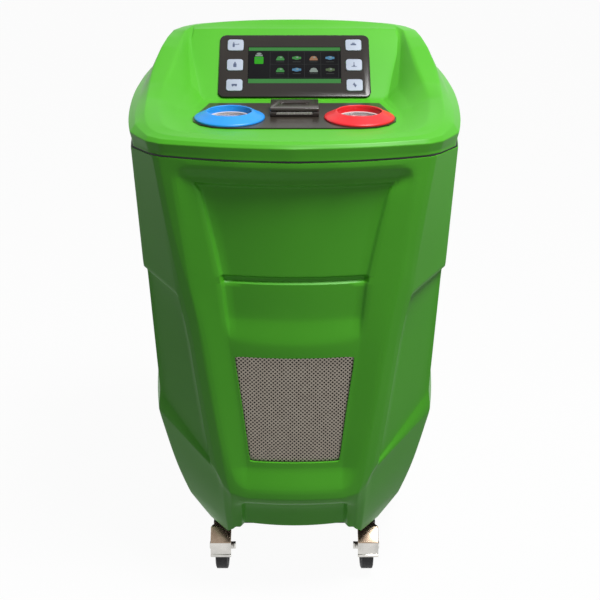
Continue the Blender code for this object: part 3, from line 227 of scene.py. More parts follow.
looks = {
    "hullGreen": {"colour": (0.074, 0.420, 0.016), "second": (0.084, 0.450, 0.020), "cloud": 5.0,
                  "specular": 0.30, "rough": (0.36, 0.46), "grain": 1100.0, "bump": 0.30, "depth": 0.00015},
    # seam strip: black rubber that seats the head cover; its black is also painted shade for the shadow line
    # along the seam
    "seamShadeRubber": {"colour": (0.010, 0.012, 0.010), "rough": (0.60, 0.80)},
    "bezelFilm": {"colour": (0.013, 0.010, 0.008), "second": (0.018, 0.014, 0.011), "rough": (0.15, 0.23),
                  "specular": 0.30, "grain": 1500.0, "bump": 0.15, "depth": 0.0001},
    "deckFilm": {"colour": (0.020, 0.016, 0.012), "second": (0.028, 0.022, 0.016), "rough": (0.26, 0.38),
                 "grain": 1500.0, "bump": 0.15, "depth": 0.0001},
    "screenGlass": {"colour": (0.003, 0.003, 0.004), "rough": (0.05, 0.08), "bump": 0.02, "specular": 0.10},
    "keyRubber": {"colour": (0.36, 0.41, 0.50), "second": (0.40, 0.45, 0.54), "rough": (0.45, 0.58)},
    "ringBlue": {"colour": (0.012, 0.280, 0.800), "second": (0.016, 0.310, 0.840), "rough": (0.34, 0.42)},
    "ringRed": {"colour": (0.760, 0.010, 0.018), "second": (0.800, 0.016, 0.024), "rough": (0.34, 0.42)},
    "dialWhite": {"colour": (0.60, 0.56, 0.56), "second": (0.66, 0.62, 0.62), "rough": (0.50, 0.62)},
    "needleBlack": {"colour": (0.012, 0.012, 0.012), "rough": (0.35, 0.50)},
    "printerBlack": {"colour": (0.026, 0.019, 0.016), "second": (0.040, 0.030, 0.026), "rough": (0.12, 0.24),
                     "grain": 700.0, "bump": 0.10},
    "paperWhite": {"colour": (0.78, 0.77, 0.73), "rough": (0.75, 0.90)},
    "grilleSteel": {"colour": (0.29, 0.255, 0.215), "second": (0.32, 0.285, 0.24), "rough": (0.30, 0.48),
                    "metallic": 0.85, "cloud": 60.0},
    "blackSteel": {"colour": (0.018, 0.018, 0.020), "rough": (0.45, 0.62), "grain": 600.0, "bump": 0.45},
    "blackPlastic": {"colour": (0.014, 0.014, 0.014), "rough": (0.38, 0.52)},
    "rockerRed": {"colour": (0.55, 0.015, 0.015), "rough": (0.22, 0.32)},
    "portBlue": {"colour": (0.020, 0.16, 0.62), "rough": (0.25, 0.40), "metallic": 0.8},
    "portRed": {"colour": (0.66, 0.015, 0.020), "rough": (0.25, 0.40), "metallic": 0.8},
    "zinc": {"colour": (0.56, 0.55, 0.52), "second": (0.70, 0.68, 0.64), "rough": (0.16, 0.34),
             "metallic": 1.0, "cloud": 40.0, "grain": 500.0},
    "darkZinc": {"colour": (0.22, 0.21, 0.20), "second": (0.34, 0.32, 0.30), "rough": (0.22, 0.42),
                 "metallic": 0.95, "cloud": 35.0, "grain": 400.0},
    "wheelGrey": {"colour": (0.030, 0.030, 0.032), "second": (0.045, 0.045, 0.048), "rough": (0.55, 0.72),
                  "grain": 500.0},
    "tyreBlack": {"colour": (0.020, 0.020, 0.020), "rough": (0.65, 0.85), "grain": 500.0, "bump": 0.4},
    "pedalBronze": {"colour": (0.30, 0.22, 0.16), "second": (0.46, 0.36, 0.27), "rough": (0.18, 0.34),
                    "metallic": 0.95, "cloud": 45.0, "grain": 420.0},
    "keyInk": {"colour": (0.030, 0.050, 0.110), "rough": (0.45, 0.60)},
    "finDark": {"colour": (0.09, 0.085, 0.08), "rough": (0.40, 0.55), "metallic": 0.8, "grain": 300.0},
    "tankBlue": {"colour": (0.30, 0.38, 0.43), "rough": (0.30, 0.45)},
    "alloy": {"colour": (0.58, 0.58, 0.58), "rough": (0.28, 0.44), "metallic": 0.9, "grain": 300.0},
    "unitBlack": {"colour": (0.020, 0.020, 0.022), "rough": (0.35, 0.50)},
    "pumpBlue": {"colour": (0.05, 0.12, 0.34), "rough": (0.35, 0.50)},
    "bottleYellow": {"colour": (0.62, 0.56, 0.24), "rough": (0.22, 0.34)},
    "caseGrey": {"colour": (0.36, 0.37, 0.38), "rough": (0.42, 0.58)},
}
materials = {name: surface(name, look) for name, look in looks.items()}
print("materials mixed:", len(materials))

carried = {
    # the seam gasket seats the head; its black paint stands in as painted shade for the seam's shadow line
    "seamShadeRubber": ("seam_gasket",),
    "blackPlastic": ("side_cap", "power_inlet", "fan_shroud", "fan_rotor"),
    "bezelFilm": ("control_bezel",),
    "screenGlass": ("display_module", "gauge_lens_low", "gauge_lens_high"),
    "keyRubber": tuple("key_" + str(n) for n in range(1, 7)),
    "deckFilm": ("deck_plate",),
    "ringBlue": ("gauge_ring_blue",),
    "ringRed": ("gauge_ring_red",),
    "dialWhite": ("gauge_low", "gauge_high"),
    "needleBlack": ("gauge_needle_low", "gauge_needle_high"),
    "printerBlack": ("printer_body", "printer_lid"),
    "paperWhite": ("paper_roll",),
    "grilleSteel": ("front_grille",),
    "blackSteel": ("back_panel", "base_tray", "upright_left", "upright_right", "mid_shelf",
                   "hull_bracket_left", "hull_bracket_right"),
    "rockerRed": ("power_switch",),
    "portBlue": ("service_port_low",),
    "portRed": ("service_port_high",),
    "zinc": ("caster_axle_left", "caster_axle_right", "caster_pedal_left", "caster_pedal_right",
             "rear_axle"),
    "darkZinc": ("caster_fork_left", "caster_fork_right"),
    "wheelGrey": ("caster_wheel_left", "caster_wheel_right"),
    "tyreBlack": ("rear_wheel_left", "rear_wheel_right"),
    "tankBlue": ("refrigerant_tank",),
    "alloy": ("scale_platform", "load_cell", "valve_manifold"),
    "finDark": ("condenser",),
    "unitBlack": ("compressor",),
    "pumpBlue": ("vacuum_pump",),
    "bottleYellow": ("oil_bottle",),
    "caseGrey": ("control_box",),
}
for finish, members in carried.items():
    for member in members:
        paintWith(nodes[member], materials[finish])


# the moulded green shells
shellSet = {"levels": 2, "creases": ((7.0, 0.55), (13.0, 0.25), (34.0, 0.15)), "shade": 38.0,
            "backHalfX": 0.170, "backCorner": 0.022, "cutFront": 0.240, "cutBack": 0.300,
            "near": 0.0005, "capHole": 0.0065,
            "hemDrop": 0.004, "hemBow": 0.100, "hemHalfX": 0.104, "hemFront": -0.200, "hemTop": 0.166,
            "deckZ": 0.902, "wall": 0.004, "panelY": 0.014, "panelTilt": 38.0, "printerInset": 0.0027,
            "gaugeX": 0.1085, "gaugeY": -0.123, "gaugeHole": 0.0349,
            "windowX": 0.0848, "windowLow": 0.0347, "windowHigh": 0.1193,
            "rimOut": 0.0008, "skinDeep": 0.0030, "holeLow": 0.030, "holeHigh": 0.124}


def toQuads(piece):
    editMode(piece, whole=True)
    bpy.ops.mesh.tris_convert_to_quads(
        face_threshold=math.radians(70), shape_threshold=math.radians(110), topology_influence=1.2
    )
    objectMode()
    left = sum(1 for face in piece.data.polygons if len(face.vertices) == 3)
    print("  ", piece.name, "faces", len(piece.data.polygons), "triangles left", left)


def closeHoles(piece, inHole, gone="VERT"):
    # takes the vertices of a cut opening, or the faces of its rim, away and fills the gaps flat
    editMode(piece)
    pickVertices(piece, inHole)
    bpy.ops.mesh.select_mode(type=gone)
    bpy.ops.mesh.delete(type=gone)
    bpy.ops.mesh.select_mode(type="VERT")
    selectAll()
    bpy.ops.mesh.fill_holes(sides=0)
    faceOutward()
    objectMode()


def subdivideBy(piece, levels):
    step = piece.modifiers.new("smooth", "SUBSURF")
    step.levels = levels
    step.render_levels = levels
    applyAll(piece)


def subdivideShell(piece, levels):
    editMode(piece)
    bpy.ops.mesh.select_mode(type="EDGE")
    for sharpness, crease in shellSet["creases"]:
        bpy.ops.mesh.select_all(action="DESELECT")
        bpy.ops.mesh.edges_select_sharp(sharpness=math.radians(sharpness))
        bpy.ops.transform.edge_crease(value=crease)
    objectMode()
    subdivideBy(piece, levels)


def cutWith(piece, cutter):
    step = piece.modifiers.new("cut", "BOOLEAN")
    step.object = cutter
    step.operation = "DIFFERENCE"
    step.solver = "EXACT"
    applyAll(piece)
    bpy.data.objects.remove(cutter, do_unlink=True)


def boxBetween(low, high, turn=None, about=(0.0, 0.0, 0.0)):
    bpy.ops.object.select_all(action="DESELECT")
    middle = [(a + b) / 2.0 for a, b in zip(low, high)]
    bpy.ops.mesh.primitive_cube_add(size=1.0, location=middle)
    made = bpy.context.object
    made.scale = [b - a for a, b in zip(low, high)]
    bpy.ops.object.transform_apply(location=True, rotation=True, scale=True)
    if turn is not None:
        made.data.transform(Matrix.Translation(about) @ turn.to_4x4())
    return made


def tubeAt(radius, low, high, x, y):
    bpy.ops.object.select_all(action="DESELECT")
    bpy.ops.mesh.primitive_cylinder_add(
        vertices=64, radius=radius, depth=high - low, location=(x, y, (low + high) / 2.0)
    )
    bpy.ops.object.transform_apply(location=True, rotation=True, scale=True)
    return bpy.context.object


panelTurn = Matrix.Rotation(math.radians(shellSet["panelTilt"]), 3, "X")
turnX = Matrix.Rotation(math.radians(90.0), 3, "Y")
turnY = Matrix.Rotation(math.radians(-90.0), 3, "X")
panelFoot = Vector((0.0, shellSet["panelY"], shellSet["deckZ"]))


def onPanel(point):
    # panel coordinates of a point: across, up the slope, out of it
    return panelTurn.transposed() @ (Vector(point) - panelFoot)


def finishShell(piece, node, slot):
    finishPiece(piece, shellSet["shade"], "hullGreen", "cabinet", node, slot)
    print(node, "shaped", len(piece.data.polygons))


def makeHeadCover():
    piece = copyOfNode("head_cover", "headCover")
    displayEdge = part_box("display_module")[1].x
    printerLow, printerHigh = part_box("printer_body")
    deck = shellSet["deckZ"]
    near = shellSet["near"]

    def inHole(point):
        rise = onPanel(point)
        onDeck = deck - shellSet["wall"] - near < point.z < deck + near
        for side in (-1.0, 1.0):
            away = math.hypot(point.x - side * shellSet["gaugeX"], point.y - shellSet["gaugeY"])
            if onDeck and away < shellSet["gaugeHole"] + shellSet["rimOut"]:
                return True
        if onDeck and abs(point.x) < printerHigh.x and printerLow.y < point.y < printerHigh.y:
            return True
        inWall = abs(rise.z + shellSet["wall"] / 2.0) < shellSet["skinDeep"]
        upSlope = shellSet["holeLow"] < rise.y < shellSet["holeHigh"]
        return inWall and upSlope and abs(point.x) < displayEdge + near

    closeHoles(piece, inHole)
    toQuads(piece)
    subdivideShell(piece, shellSet["levels"] + 1)
    low, high = deck - 0.032, deck + 0.018
    for gaugeX in (-shellSet["gaugeX"], shellSet["gaugeX"]):
        cutWith(piece, tubeAt(shellSet["gaugeHole"], low, high, gaugeX, shellSet["gaugeY"]))
    inset = shellSet["printerInset"]
    cutWith(piece, boxBetween((printerLow.x + inset, printerLow.y + inset, low),
                              (printerHigh.x - inset, printerHigh.y - inset, high)))
    wide = shellSet["windowX"]
    cutWith(piece, boxBetween((-wide, shellSet["windowLow"], -0.03), (wide, shellSet["windowHigh"], 0.02),
                              panelTurn, panelFoot))
    finishShell(piece, "head_cover", "green_head")


def makeFrontShell():
    piece = copyOfNode("front_shell", "frontShell")
    capLow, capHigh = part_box("side_cap")
    middle = (capLow + capHigh) / 2.0
    around = shellSet["capHole"]
    closeHoles(piece, lambda point: abs(point.y - middle.y) < around and abs(point.z - middle.z) < around
               and point.x > 0.2)
    toQuads(piece)
    for vertex in piece.data.vertices:
        across, along, height = vertex.co
        atHem = abs(across) < shellSet["hemHalfX"] and along < shellSet["hemFront"]
        if atHem and height < shellSet["hemTop"]:
            vertex.co.z -= shellSet["hemDrop"] * (3.0 - (across / shellSet["hemBow"]) ** 2)
    subdivideShell(piece, shellSet["levels"])
    finishShell(piece, "front_shell", "green_front")


def makeRearShell():
    piece = copyOfNode("rear_shell", "rearShell")
    panelLow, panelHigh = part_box("back_panel")
    halfX = shellSet["backHalfX"]
    near = shellSet["near"]
    skin = panelLow.y - 2.0 * near
    rows = [z for x, y, z in (vertex.co for vertex in piece.data.vertices)
            if abs(x) < halfX + near and y > skin and panelLow.z < z < panelHigh.z]
    low, high = min(rows), max(rows)
    closeHoles(piece, lambda point: point.y > skin and abs(point.x) < halfX + near
               and low - near < point.z < high + near, "FACE")
    toQuads(piece)
    subdivideShell(piece, shellSet["levels"])
    opening = boxBetween((-halfX, shellSet["cutFront"], low), (halfX, shellSet["cutBack"], high))
    editMode(opening)
    bpy.ops.mesh.select_mode(type="EDGE")
    objectMode()
    for edge in opening.data.edges:
        first, second = (opening.data.vertices[index].co for index in edge.vertices)
        edge.select = abs(first.y - second.y) > 0.01
    bpy.ops.object.mode_set(mode="EDIT")
    bpy.ops.mesh.bevel(offset=shellSet["backCorner"], segments=8, profile=0.5, affect="EDGES")
    objectMode()
    cutWith(piece, opening)
    finishShell(piece, "rear_shell", "green_front")


makeHeadCover()
makeFrontShell()
makeRearShell()


# more helpers: primitives, turned pieces and panel coordinates
def fromPrimitive(kind, pieceName, **facts):
    bpy.ops.object.select_all(action="DESELECT")
    getattr(bpy.ops.mesh, "primitive_" + kind + "_add")(**facts)
    piece = bpy.context.object
    piece.name = pieceName
    piece.data.name = pieceName
    bpy.ops.object.transform_apply(location=True, rotation=True, scale=True)
    return piece


def extrudeBy(x, y, z):
    bpy.ops.mesh.extrude_region_move(TRANSFORM_OT_translate={"value": (x, y, z)})


def spinBy(steps, degrees):
    # in edit mode: everything is spun about Z, and left selected
    selectAll()
    bpy.ops.mesh.spin(steps=steps, angle=math.radians(degrees), center=(0.0, 0.0, 0.0), axis=(0.0, 0.0, 1.0))
    selectAll()


def turned(pieceName, profile, steps, place=(0.0, 0.0, 0.0), turn=None, shade=32.0):
    # one vertex drawn along the profile of (radius, height), then spun about Z
    piece = fromPrimitive("plane", pieceName, size=0.01)
    editMode(piece, whole=True)
    bpy.ops.mesh.merge(type="CENTER")
    bpy.ops.transform.translate(value=(profile[0][0], 0.0, profile[0][1]))
    for (nearRadius, low), (radius, high) in zip(profile, profile[1:]):
        extrudeBy(radius - nearRadius, 0.0, high - low)
    spinBy(steps, 360.0)
    bpy.ops.mesh.remove_doubles(threshold=0.000002)
    faceOutward()
    objectMode()
    if turn is not None:
        piece.data.transform(turn.to_4x4())
    moveBy(piece, place)
    smoothBy(piece, shade)
    return piece


def joinInto(piece, others):
    onlySelect(piece)
    for other in others:
        other.select_set(True)
    bpy.ops.object.join()
    return piece


def bevelSharp(piece, width, segments=2, sharpness=40.0, wanted=None):
    # rounds the sharp edges, or those of them whose ends the test wants
    editMode(piece)
    bpy.ops.mesh.select_mode(type="EDGE")
    bpy.ops.mesh.edges_select_sharp(sharpness=math.radians(sharpness))
    if wanted is not None:
        objectMode()
        for edge in piece.data.edges:
            ends = [piece.data.vertices[i].co for i in edge.vertices]
            edge.select = edge.select and all(wanted(end) for end in ends)
        bpy.ops.object.mode_set(mode="EDIT")
    bpy.ops.mesh.bevel(offset=width, segments=segments, profile=0.5, affect="EDGES", clamp_overlap=True)
    objectMode()


def mergeFlat(piece):
    editMode(piece, whole=True)
    bpy.ops.mesh.dissolve_limited(angle_limit=math.radians(1.0))
    objectMode()


def flatCopy(node, pieceName):
    piece = copyOfNode(node, pieceName)
    mergeFlat(piece)
    return piece


def toPanel(piece):
    piece.data.transform(Matrix.Translation(panelFoot) @ panelTurn.to_4x4())
    return piece


def slab(pieceName, halfX, halfY, low, high, corner, middle=(0.0, 0.0), steps=6):
    # a plate with rounded corners: a plane, its corners bevelled, drawn up to its thickness
    piece = fromPrimitive("plane", pieceName, size=2.0)
    stretchBy(piece, halfX, halfY)
    moveBy(piece, (middle[0], middle[1], low))
    editMode(piece, whole=True)
    if corner > 0.0:
        bpy.ops.mesh.bevel(offset=corner, segments=steps, profile=0.5, affect="VERTICES")
    selectAll()
    extrudeBy(0.0, 0.0, high - low)
    faceOutward()
    objectMode()
    return piece


# control panel: bezel film, display with its generic picture, and six keys
bezelSet = {"halfX": 0.1375, "low": 0.004, "high": 0.148, "under": 0.0004, "over": 0.0043, "corner": 0.012,
            "edge": 0.0011, "cutLow": -0.01, "cutHigh": 0.02, "windowCorner": 0.0008, "keyCorner": 0.0053,
            "keyX": 0.1085, "keyRows": (0.1230, 0.0763, 0.0297), "keyHalfX": 0.0154, "keyHalfY": 0.0139}


def makeBezel():
    middleY = (bezelSet["low"] + bezelSet["high"]) / 2.0
    halfY = (bezelSet["high"] - bezelSet["low"]) / 2.0
    piece = slab("bezelFrame", bezelSet["halfX"], halfY, bezelSet["under"], bezelSet["over"],
                 bezelSet["corner"], (0.0, middleY), 8)
    bevelSharp(piece, bezelSet["edge"], 3, 60.0, lambda point: point.z > 0.004)
    windowY = (shellSet["windowLow"] + shellSet["windowHigh"]) / 2.0
    windowHalf = (shellSet["windowHigh"] - shellSet["windowLow"]) / 2.0
    cutLow, cutHigh = bezelSet["cutLow"], bezelSet["cutHigh"]
    cutWith(piece, slab("cut", shellSet["windowX"], windowHalf, cutLow, cutHigh, bezelSet["windowCorner"],
                        (0.0, windowY), 3))
    for side in (-1.0, 1.0):
        for row in bezelSet["keyRows"]:
            cutWith(piece, slab("cut", bezelSet["keyHalfX"], bezelSet["keyHalfY"], cutLow, cutHigh,
                                bezelSet["keyCorner"], (side * bezelSet["keyX"], row), 5))
    mergeFlat(piece)
    toPanel(piece)
    finishPiece(piece, 35.0, "bezelFilm", "cabinet", "control_bezel", "bezel")


def glowing(name, colour, strength):
    # a lit picture element, a little uneven as a display's pixels are
    material, tree, shader = newMaterial(name)
    shader.inputs["Base Color"].default_value = (0.003, 0.003, 0.003, 1.0)
    shader.inputs["Roughness"].default_value = 0.2
    shader.inputs["Specular IOR Level"].default_value = 0.1
    grain = objectNoise(tree, 1800.0, 1.0)
    dim = tuple(c * 0.72 for c in colour)
    tree.links.new(colourSpread(tree, grain.outputs["Fac"], dim, colour), shader.inputs["Emission Color"])
    shader.inputs["Emission Strength"].default_value = strength
    return material


screenSet = {"lift": 0.00345, "thick": 0.00004, "line": 0.00022,
             "bars": ((0.0, 0.1148, 0.0840, 0.0040), (0.0, 0.0402, 0.0840, 0.0050)),
             "bottle": (-0.0650, 0.0905), "gridX": (-0.0445, -0.0115, 0.0180, 0.0480, 0.0800),
             "gridY": (0.0475, 0.0790, 0.1085), "iconX": (-0.0260, 0.0040, 0.0350, 0.0650),
             "iconY": (0.0940, 0.0665)}
screenGlows = {
    "green": ((0.055, 0.270, 0.060), 0.95),
    "bright": ((0.030, 0.420, 0.010), 1.0),
    "leaf": ((0.060, 0.300, 0.070), 0.9),
    "tan": ((0.380, 0.190, 0.110), 0.9),
    "blue": ((0.090, 0.260, 0.440), 0.9),
    "pale": ((0.330, 0.400, 0.360), 0.8),
    "olive": ((0.110, 0.170, 0.080), 0.8),
    "line": ((0.060, 0.070, 0.065), 0.7),
}
screenPaints = {name: glowing("screen" + name.capitalize(), *facts) for name, facts in screenGlows.items()}


def screenTile(paint, x, y, halfX, halfY, corner=0.0, rise=0.0):
    lift = screenSet["lift"] + rise
    piece = slab("tile", halfX, halfY, lift, lift + screenSet["thick"], corner, (x, y), 3)
    paintWith(piece, screenPaints[paint])
    return piece


def screenDisc(paint, x, y, radius, sides=20, squeeze=1.0, rise=0.0):
    lift = screenSet["lift"] + rise
    piece = fromPrimitive("cylinder", "disc", vertices=sides, radius=radius, depth=screenSet["thick"])
    stretchBy(piece, 1.0, squeeze)
    moveBy(piece, (x, y, lift))
    paintWith(piece, screenPaints[paint])
    return piece


def makeDisplay():
    glass = copyOfNode("display_module", "displayGlass")
    bevelSharp(glass, 0.0004, 2, 40.0)
    finishPiece(glass, 30.0, "screenGlass", "cabinet", "display_module", "screen")
    tiles = [screenTile("green", *bar) for bar in screenSet["bars"]]
    x, y = screenSet["bottle"]
    up = 0.00003
    tiles.append(screenTile("bright", x, y - 0.002, 0.0082, 0.0085, 0.002))
    tiles.append(screenTile("pale", x, y + 0.0093, 0.0066, 0.0018, 0.0006))
    tiles.append(screenDisc("pale", x, y + 0.0135, 0.0046, 24, 0.5))
    tiles.append(screenTile("leaf", x, y + 0.002, 0.0060, 0.0011, 0.0005, up))
    fine = screenSet["line"]
    for edge in screenSet["gridX"]:
        tiles.append(screenTile("line", edge, 0.0780, fine, 0.0300))
    near, far = screenSet["gridX"][0], screenSet["gridX"][-1]
    for edge in screenSet["gridY"]:
        tiles.append(screenTile("line", (near + far) / 2.0, edge, (far - near) / 2.0, fine))
    paints = (("leaf", "leaf", "tan", "blue"), ("leaf", "blue", "pale", "olive"))
    for row, y in enumerate(screenSet["iconY"]):
        for column, x in enumerate(screenSet["iconX"]):
            paint = paints[row][column]
            tiles.append(screenDisc(paint, x, y, 0.0060, 24, 0.72))
            drop, wide, tall = (0.0035, 0.0075, 0.0022) if column % 2 == 0 else (0.0, 0.0082, 0.0026)
            tiles.append(screenTile(paint, x, y - drop, wide, tall, 0.0010, up))
            tiles.append(screenDisc("pale", x + 0.0012, y + 0.0012, 0.0021, 12, 0.8, 2.0 * up))
            tiles.append(screenTile("line", x, y - 0.0092, 0.0072, 0.0006, 0.0, up))
    picture = joinInto(tiles[0], tiles[1:])
    picture.name = "displayPicture"
    toPanel(picture)
    standFor(picture, "cabinet", slot="screen")


keySet = {"halfX": 0.0148, "halfY": 0.0133, "under": 0.0016, "over": 0.0059, "corner": 0.0052,
          "edge": 0.0012, "ink": 0.00008}


def inkTile(x, y, halfX, halfY, corner=0.0):
    piece = slab("ink", halfX, halfY, keySet["over"], keySet["over"] + keySet["ink"], corner, (x, y), 2)
    paintWith(piece, materials["keyInk"])
    return piece


def inkDisc(x, y, radius, sides=16, squeeze=1.0, spin=0.0):
    piece = fromPrimitive("cylinder", "ink", vertices=sides, radius=radius, depth=keySet["ink"])
    turnBy(piece, spin, "Z")
    stretchBy(piece, 1.0, squeeze)
    moveBy(piece, (x, y, keySet["over"] + keySet["ink"] / 2.0))
    paintWith(piece, materials["keyInk"])
    return piece


def pictogram(number):
    # small generic signs: bottle and hose, jug, gauge, valve, pump, bolt
    if number == 1:
        return [inkTile(-0.0035, -0.0010, 0.0020, 0.0044, 0.0010), inkDisc(-0.0035, 0.0050, 0.0012),
                inkTile(0.0024, 0.0010, 0.0034, 0.0007), inkDisc(0.0058, 0.0016, 0.0018, 3, 1.0, -90.0)]
    if number == 2:
        return [inkTile(0.0, -0.0016, 0.0030, 0.0042, 0.0008), inkTile(0.0, 0.0044, 0.0012, 0.0018)]
    if number == 3:
        return [inkTile(0.0, 0.0, 0.0050, 0.0020, 0.0009), inkDisc(-0.0032, -0.0024, 0.0014),
                inkDisc(0.0032, -0.0024, 0.0014)]
    if number == 4:
        return [inkTile(0.0, 0.0006, 0.0052, 0.0018, 0.0008), inkTile(0.0, 0.0038, 0.0026, 0.0010)]
    if number == 5:
        return [inkTile(0.0, 0.0012, 0.0007, 0.0046), inkTile(0.0, -0.0046, 0.0048, 0.0007),
                inkDisc(0.0, -0.0026, 0.0024, 3, 1.0, 180.0)]
    return [inkDisc(-0.0008, 0.0016, 0.0034, 3, 1.2, 0.0), inkDisc(0.0010, -0.0024, 0.0034, 3, 1.2, 180.0)]


def makeKeys():
    number = 0
    for side in (-1.0, 1.0):
        for row in bezelSet["keyRows"]:
            number += 1
            cap = slab("keyCap" + str(number), keySet["halfX"], keySet["halfY"], keySet["under"],
                       keySet["over"], keySet["corner"], (0.0, 0.0), 6)
            paintWith(cap, materials["keyRubber"])
            bevelSharp(cap, keySet["edge"], 4, 60.0, lambda point: point.z > 0.005)
            joinInto(cap, pictogram(number))
            moveBy(cap, (side * bezelSet["keyX"], row, 0.0))
            toPanel(cap)
            smoothBy(cap, 40.0)
            standFor(cap, "key_" + str(number), "key_" + str(number), slot="key")


makeBezel()
makeDisplay()
makeKeys()
print("control panel made")


# pressure gauges: coloured funnels, dials with ticks, glass
gaugeSet = {"seat": 0.9046, "inner": 0.0370, "outer": 0.0590, "height": 0.0125, "dial": 0.0320,
            "dialZ": 0.8956, "ticks": 41, "sweep": 270.0, "tickNear": 0.0235, "tickFar": 0.0285,
            "tickWide": 0.0003, "bandNear": 0.0205, "bandWide": 0.0016, "glassZ": 0.9039}


def tickRing(z):
    pieces = []
    count = gaugeSet["ticks"]
    sweep = gaugeSet["sweep"]
    far = gaugeSet["tickFar"]
    for step in range(count):
        major = step % 5 == 0
        length = (far - gaugeSet["tickNear"]) * (1.0 if major else 0.55)
        tick = fromPrimitive("cube", "tick", size=1.0)
        stretchBy(tick, gaugeSet["tickWide"] * (1.6 if major else 1.0), length, 0.0001)
        moveBy(tick, (0.0, far - length / 2.0, z))
        turnBy(tick, sweep / 2.0 - sweep * step / (count - 1), "Z")
        pieces.append(tick)
    return pieces


def makeGauge(side, colour, tag, arcs):
    paint = materials["ring" + colour.capitalize()]
    place = (side * shellSet["gaugeX"], shellSet["gaugeY"], 0.0)
    seat = gaugeSet["seat"]
    inner = gaugeSet["inner"]
    outer = gaugeSet["outer"]
    top = seat + gaugeSet["height"]
    ring = turned("gaugeFunnel" + tag, (
        (inner, seat + 0.0001), (inner, top - 0.0010), (inner + 0.0003, top - 0.0003),
        (inner + 0.0010, top), (inner + 0.0022, top), (inner + 0.0030, top - 0.0003),
        (mixValue(inner, outer, 0.35), top - 0.0034), (mixValue(inner, outer, 0.70), top - 0.0066),
        (outer - 0.0018, seat + 0.0036),
        (outer - 0.0006, seat + 0.0028), (outer, seat + 0.0018), (outer, seat + 0.0001),
        (inner, seat + 0.0001),
    ), 112, place, shade=50.0)
    paintWith(ring, paint)
    standFor(ring, "cabinet", "gauge_ring_" + colour, slot="ring_" + colour)
    dial = fromPrimitive("cylinder", "gaugeDial" + tag, vertices=72, radius=gaugeSet["dial"], depth=0.0002)
    moveBy(dial, (0.0, 0.0, gaugeSet["dialZ"] + 0.00012))
    paintWith(dial, materials["dialWhite"])
    z = gaugeSet["dialZ"] + 0.00028
    ticks = tickRing(z)
    marks = joinInto(ticks[0], ticks[1:])
    paintWith(marks, materials["needleBlack"])
    bands = []
    for first, sweep in arcs:
        steps = max(3, int(sweep / 4.0))
        band = fromPrimitive("plane", "band", size=0.01)
        editMode(band, whole=True)
        bpy.ops.mesh.merge(type="CENTER")
        bpy.ops.transform.translate(value=(0.0, gaugeSet["bandNear"], z - 0.00008))
        extrudeBy(0.0, gaugeSet["bandWide"], 0.0)
        spinBy(steps, -sweep)
        extrudeBy(0.0, 0.0, 0.00006)
        faceOutward()
        objectMode()
        turnBy(band, -first, "Z")
        paintWith(band, paint)
        bands.append(band)
    joinInto(dial, [marks] + bands)
    moveBy(dial, place)
    standFor(dial, "cabinet", slot="gauge")
    needle = copyOfNode("gauge_needle_" + tag, "gaugeNeedle" + tag)
    bevelSharp(needle, 0.0002, 1, 40.0)
    hub = turned("hub", ((0.0, 0.0), (0.0034, 0.0), (0.0034, 0.0010), (0.0026, 0.0016), (0.0, 0.0018)), 28,
                 (place[0], place[1], gaugeSet["dialZ"] + 0.0018))
    joinInto(needle, [hub])
    paintWith(needle, materials["needleBlack"])
    standFor(needle, "gauge_needle_" + tag, "gauge_needle_" + tag, slot="needle")
    glass = turned("gaugeGlass" + tag, (
        (0.0, 0.0), (0.0318, 0.0), (0.0320, 0.0003), (0.0320, 0.0014), (0.0312, 0.0018), (0.0, 0.0018),
        (0.0, 0.0),
    ), 72, (place[0], place[1], gaugeSet["glassZ"]))
    paintWith(glass, materials["lensGlass"])
    standFor(glass, "cabinet", "gauge_lens_" + tag, slot="lens")


def lensMaterial():
    material, tree, shader = newMaterial("lensGlass")
    grain = objectNoise(tree, 260.0)
    tree.links.new(colourSpread(tree, grain.outputs["Fac"], (0.80, 0.78, 0.80), (0.90, 0.89, 0.90)),
                   shader.inputs["Base Color"])
    tree.links.new(spreadValue(tree, grain.outputs["Fac"], 0.02, 0.06), shader.inputs["Roughness"])
    shader.inputs["Transmission Weight"].default_value = 1.0
    shader.inputs["IOR"].default_value = 1.49
    return material


materials["lensGlass"] = lensMaterial()
makeGauge(-1.0, "blue", "low", ((-120.0, 60.0), (-40.0, 90.0)))
makeGauge(1.0, "red", "high", ((-120.0, 150.0), (60.0, 70.0)))
print("gauges made")


# printer: glossy case, lid with a grip hollow, tear bar with teeth
printerSet = {"front": -0.1165, "back": -0.0520, "top": 0.9195, "lidLow": 0.9135,
              "lidEdge": 0.0016, "teeth": 34, "barHalfX": 0.0300, "ribs": 3, "ribFirst": 0.0315,
              "ribPitch": 0.0060, "ribWide": 0.0020, "ribHalfX": 0.020, "rollZ": 0.8833}


